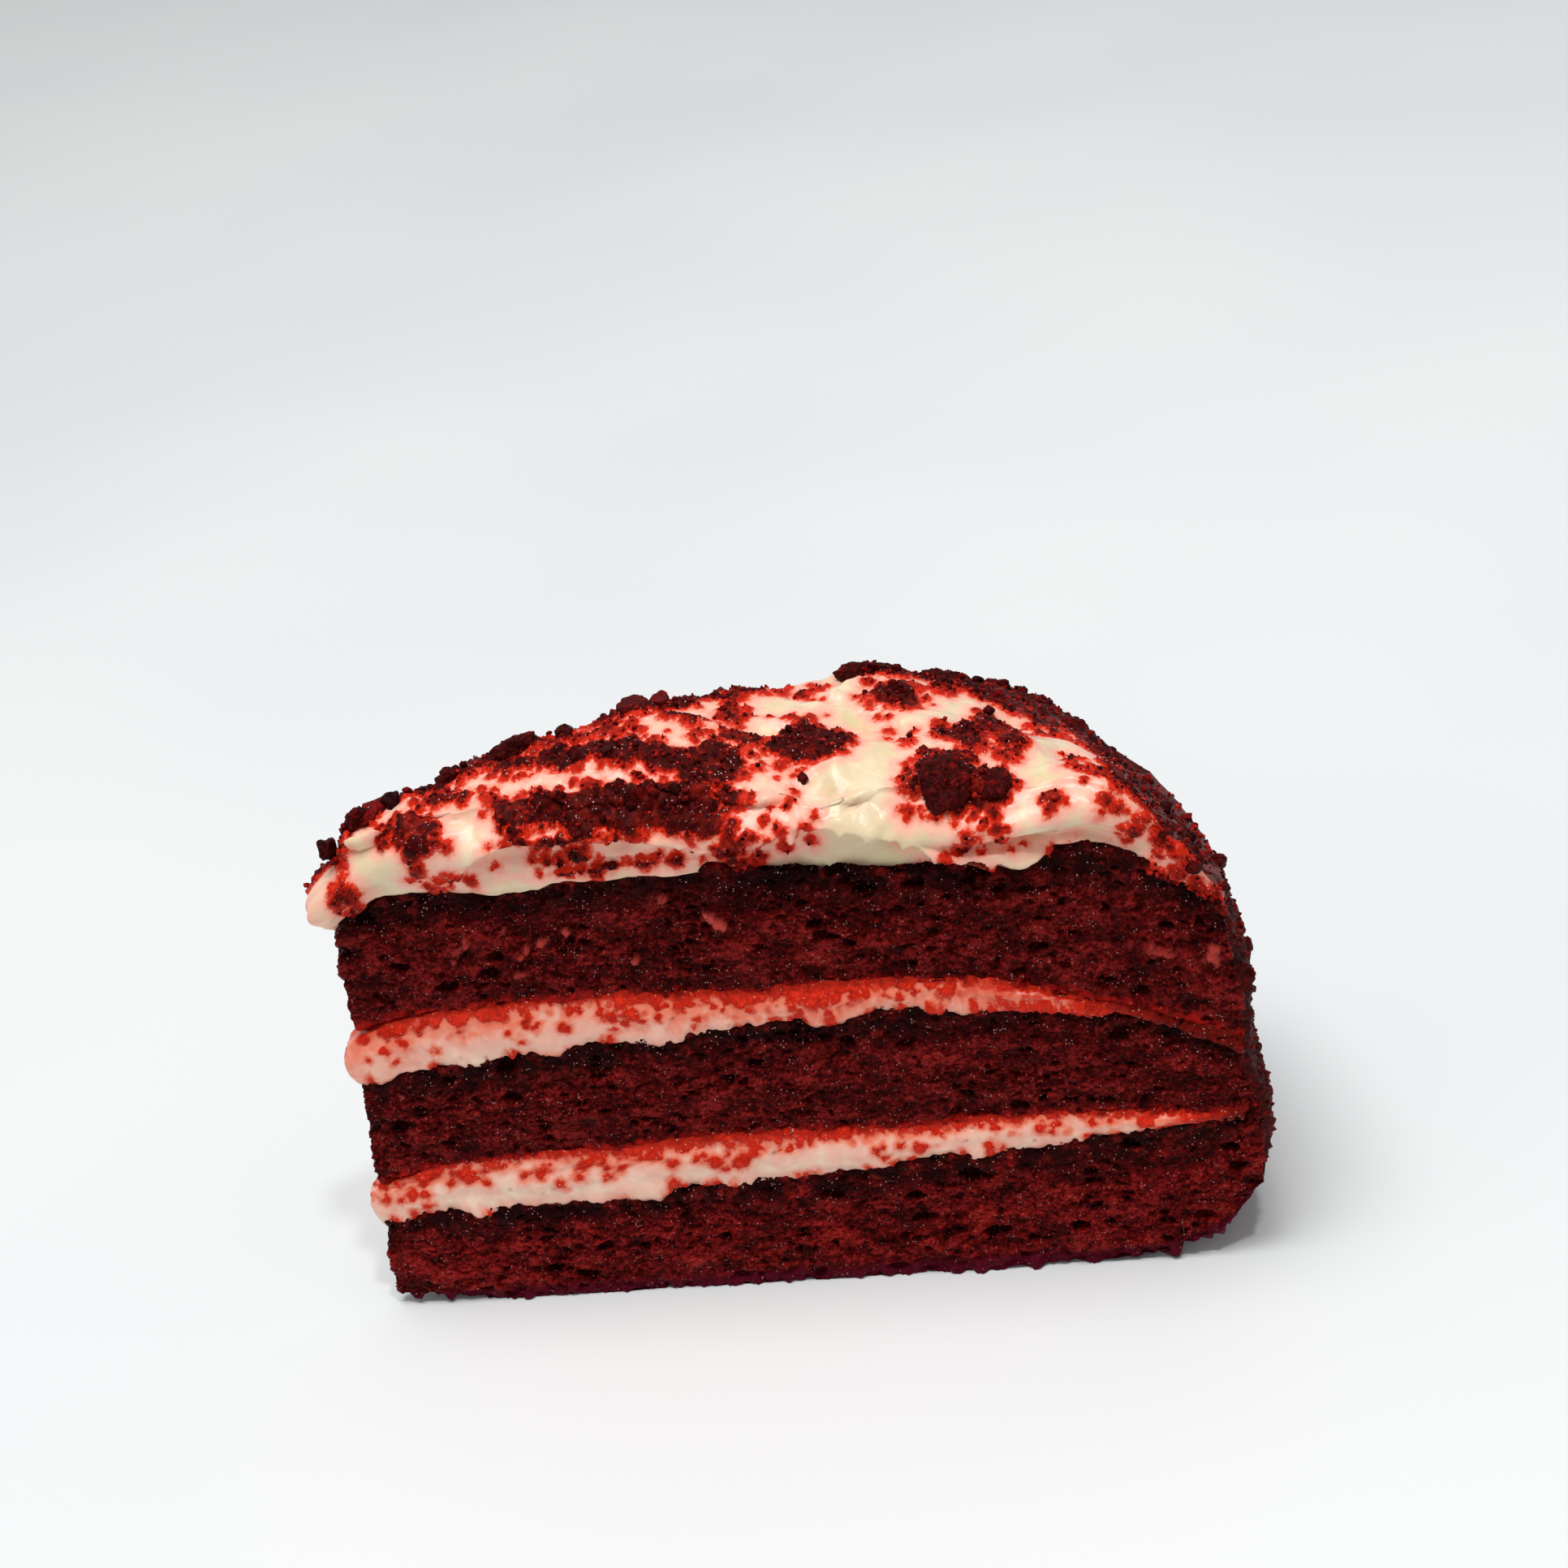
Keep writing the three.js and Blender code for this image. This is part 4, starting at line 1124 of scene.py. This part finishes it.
CREAM = (0.89, 0.64, 0.47)
PALE_CREAM = (0.92, 0.74, 0.57)
FROSTING = (0.74, 0.57, 0.36)
PALE_FROSTING = (0.81, 0.67, 0.46)
SHADED_FROSTING = (0.7, 0.6, 0.32)
RED_GLOSS = (1, 0.6, 0.57)  # moist crumb reflects a reddish light
STAIN_GLOSS = (0.5, 0.12, 0.1)  # and stained cream a redder one
FLOOR_SHADES = (0.74, 0.755, 0.76), (0.8, 0.81, 0.81)


def glints(look, share):
    """Scattered dots a tenth of a millimetre across, in crowds, where wet grains catch the light."""
    distance, number = look.cells(0.36)
    chosen = look.maths("GREATER_THAN", number, 0.84)
    small = look.span(distance, 0.36, 0.22)
    crowd = look.span(look.noise(2.4, 2), 0.42, 0.58)
    return look.product(chosen, small, crowd, share)


def sponge_look(name, red, light, skin=False):
    look = Look(name)
    distance, number = look.cells(0.46, (0.75, 0.75, 1), 0.8)
    streak = look.noise(2.2, 3, (0.45, 0.45, 1))
    # each grain's own tone, with painted shade at the grains' edges and, from the mesh's mark, in the crumb's
    # depths
    grain_and_shade = look.total(-0.78, (look.mark("tone_and_shade"), 0.65), (number, 0.3), (distance, -0.26))
    level = look.total(grain_and_shade, (look.noise(0.45, 3), 1.0), (streak, 1.05))
    colour = look.ramp(level, (0.0, BLACK_RED), (0.3, DEEP_RED), (0.6, red), (1.0, light))
    up = look.mark("up")
    wet = look.total(0.0, (look.span(up, 0.6, 0.93), 1.0), (look.span(up, 0.2, 0.03), 0.4))
    patchy = look.span(look.noise(2.6, 3), 0.25, 0.6)
    wet = look.maths("MULTIPLY", look.total(0.06, (wet, 0.9)), patchy, clamp=True)
    colour = look.mix(wet, colour, BLACK_RED)
    if skin:
        colour = look.mix(look.span(up, 0.16, 0.06), colour, SKIN)
    else:
        soaked = look.span(look.total(0.0, (up, 1.0), (look.noise(1.5, 3), 0.25)), 0.2, 0.1)
        colour = look.mix(look.product(soaked, look.span(level, 0.0, 0.5)), colour, SOAKED_RED)
    colour = look.mix(look.product(look.mark("smear"), look.span(level, 0.0, 0.6)), colour, SMEAR)
    colour = look.mix(glints(look, look.total(0.5, (wet, 0.6))), colour, GLINT)
    look.bump(look.total(0.0, (distance, -0.6), (look.noise(0.45, 4), 1.2)), 0.35, 1.0)
    return look.finish(colour, Roughness=0.26, Specular_IOR_Level=0.06, Specular_Tint=RED_GLOSS)


def crumb_look(name, dark, light):
    look = Look(name)
    distance, number = look.cells(0.5, sway=0.8)
    # each grain's own tone, with painted shade at the grains' edges and, from the mesh's mark, in the crumb's
    # depths
    grain_and_shade = look.total(-0.2, (look.mark("tone_and_shade"), 0.6), (number, 0.3), (distance, -0.2))
    level = look.total(grain_and_shade, (look.noise(0.6, 4), 0.5))
    colour = look.ramp(level, (0.0, BLACK_RED), (0.45, dark), (0.9, light))
    look.bump(look.total(0.0, (distance, -0.5), (look.noise(0.5, 4), 1.0)), 0.3, 1.0)
    return look.finish(colour, Roughness=0.5, Specular_IOR_Level=0.1, Specular_Tint=RED_GLOSS)


def red_on_cream(look, cream, reach):
    """Cream with crumb on it, stained for some way round it.

    Gives the colour, how far crumb covers it, and how far it is stained through.
    """
    cream = look.mix(look.mark("hollow"), cream, SHADED_FROSTING)
    stain = look.total(-1.1, (look.noise(2.2, 3), 1.2), (look.noise(0.7, 2), 1.0), (look.mark("stain"), 1.0))
    colour = look.mix(look.span(stain, -reach, -0.25 * reach), cream, PINK)
    colour = look.mix(look.span(stain, -0.4 * reach, 0.3), colour, SALMON)
    colour = look.mix(look.span(stain, 0.1, 1.2), colour, SEEP_RED)
    edge = look.total(-0.6, (look.noise(0.5, 3), 1.2), (look.mark("red"), 1.0))
    stained = look.span(edge, -0.35, 0.1)
    colour = look.mix(stained, colour, STAIN_RED)
    distance, number = look.cells(0.45, sway=0.8)
    # each grain's own tone, with painted shade at the grains' edges and, from the mesh's mark, in the crumb's
    # depths
    grain_and_shade = look.total(-0.1, (look.mark("tone_and_shade"), 0.4), (number, 0.5), (distance, -0.3))
    lit = look.total(grain_and_shade, (look.noise(0.5, 3), 0.6))
    fresh, old = look.mix(lit, CRUMB_RED, BRIGHT_CRUMB), look.mix(lit, BLACK_RED, CRUMB_DARK)
    crumb = look.mix(look.mark("dark"), fresh, old)
    covered = look.span(edge, 0.05, 0.4)
    colour = look.mix(covered, colour, crumb)
    return look.mix(glints(look, look.span(stain, -0.6, 0.4)), colour, GLINT), covered, stained


def cream_finish(look, colour, covered, stained, gloss, bump_size):
    """Glossy cream that light enters a little, except where it is red, and dull where crumb covers it."""
    look.bump(look.noise(bump_size, 4), 0.2, 0.5)
    clear = look.maths("MULTIPLY_ADD", stained, -0.35, 0.35, clamp=True)
    look.shader.inputs["Subsurface Radius"].default_value = (1.0, 0.6, 0.35)
    look.shader.inputs["Subsurface Scale"].default_value = 0.8 * MM
    tint = look.mix(stained, (1, 1, 1), STAIN_GLOSS)
    rough = look.maths("MULTIPLY_ADD", covered, 0.3, gloss)
    shine = {"Roughness": rough, "Specular_IOR_Level": 0.35, "Specular_Tint": tint}
    return look.finish(colour, **shine, Subsurface_Weight=clear)


def cream_look(name, mottle_size, creams, reach, gloss, bump_size):
    """Cream of two mottled colours. Its stains reach so many millimetres past the crumbs on it."""
    look = Look(name)
    cream = look.mix(look.span(look.noise(mottle_size, 3), 0.35, 0.65), *creams)
    return cream_finish(look, *red_on_cream(look, cream, reach), gloss, bump_size)


# ---------- Camera, floor and light ----------
TARGET = CAD_BOX[0] + Vector((68.7, 3.5, 77.5)) * MM
CAMERA_DISTANCE = 0.3623
CAMERA_AZIMUTH, CAMERA_ELEVATION, CAMERA_ROLL = (math.radians(a) for a in (11.71, 28.18, 10.78))
LENS = 67.08  # millimetres, on a sensor 36 mm wide


def add_camera():
    camera = placed("camera", bpy.data.cameras.new("camera"))
    camera.data.lens = LENS
    camera.data.sensor_width = 36
    camera.data.clip_start = 0.01
    camera.data.clip_end = 20
    back = Vector((math.sin(CAMERA_AZIMUTH) * math.cos(CAMERA_ELEVATION),
                   -math.cos(CAMERA_AZIMUTH) * math.cos(CAMERA_ELEVATION), math.sin(CAMERA_ELEVATION)))
    right = Vector(UP).cross(back).normalized()
    level = Matrix((right, back.cross(right), back)).transposed()
    camera.matrix_world = (Matrix.Translation(TARGET + back * CAMERA_DISTANCE) @ level.to_4x4()
                           @ Matrix.Rotation(-CAMERA_ROLL, 4, "Z"))
    bpy.context.scene.camera = camera


def add_floor():
    bpy.ops.mesh.primitive_plane_add(size=6, location=(0, 0, -0.0001))
    floor = bpy.context.object
    floor.name = "floor"
    look = Look("floor")
    shade = look.mix(look.span(look.noise(250, 2), 0.3, 0.7), *FLOOR_SHADES)
    floor.data.materials.append(look.finish(shade, Roughness=0.6, Specular_IOR_Level=0.1))


def add_lamp(name, place, size, power):
    lamp = bpy.data.lights.new(name, "AREA")
    lamp.shape = "DISK"
    lamp.size = size
    lamp.energy = power
    holder = placed(name, lamp)
    holder.location = place
    holder.rotation_mode = "QUATERNION"
    holder.rotation_quaternion = Vector(place).to_track_quat("Z", "Y")


def add_light():
    world = bpy.data.worlds.new("studio")
    world.use_nodes = True
    world.node_tree.nodes["Background"].inputs["Color"].default_value = (0.97, 0.985, 1, 1)
    world.node_tree.nodes["Background"].inputs["Strength"].default_value = 0.42
    bpy.context.scene.world = world
    add_lamp("softbox", (-0.15, -0.2, 1.5), 0.9, 15.5)
    add_lamp("sparkle", (0.25, -0.4, 1.1), 0.08, 3)
    bpy.context.scene.view_settings.view_transform = "Standard"


# ---------- The slice ----------
add_camera()
add_floor()
add_light()
sponge_layer("sponge_bottom", 1, sponge_look("sponge_bottom", BASE_RED_LIT_FROM_BELOW, BASE_LIGHT_RED_LIT_FROM_BELOW, skin=True))
sponge = sponge_look("sponge", SPONGE_RED, LIGHT_RED)
sponge_layer("sponge_middle", 2, sponge)
sponge_layer("sponge_top", 3, sponge)
cream = cream_look("cream_filling", 2.5, (CREAM, PALE_CREAM), 3.4, 0.28, 0.8)
filling_layer("filling_lower", 4, cream, -0.5, 114, 0)
filling_layer("filling_upper", 5, cream, 0.6, 111, 13)
frosting = cream_look("cream_frosting", 6, (FROSTING, PALE_FROSTING), 2.4, 0.24, 1.2)
frosting_grid, crumb_cover = frosting_piece(frosting)
crumbs = crumb_look("cake_crumbs", CRUMB_DARK, CRUMB_RED)
coat = coat_piece(crumbs)
red_crumbs = crumb_look("crumbs_thin", FINE_CRUMB, LIGHT_FINE_CRUMB)
scatter_crumbs(frosting_grid, crumb_cover, coat, crumbs, red_crumbs)
for index, node in enumerate(LUMPS):
    lump_piece(node, 600 + 20 * index, crumbs)
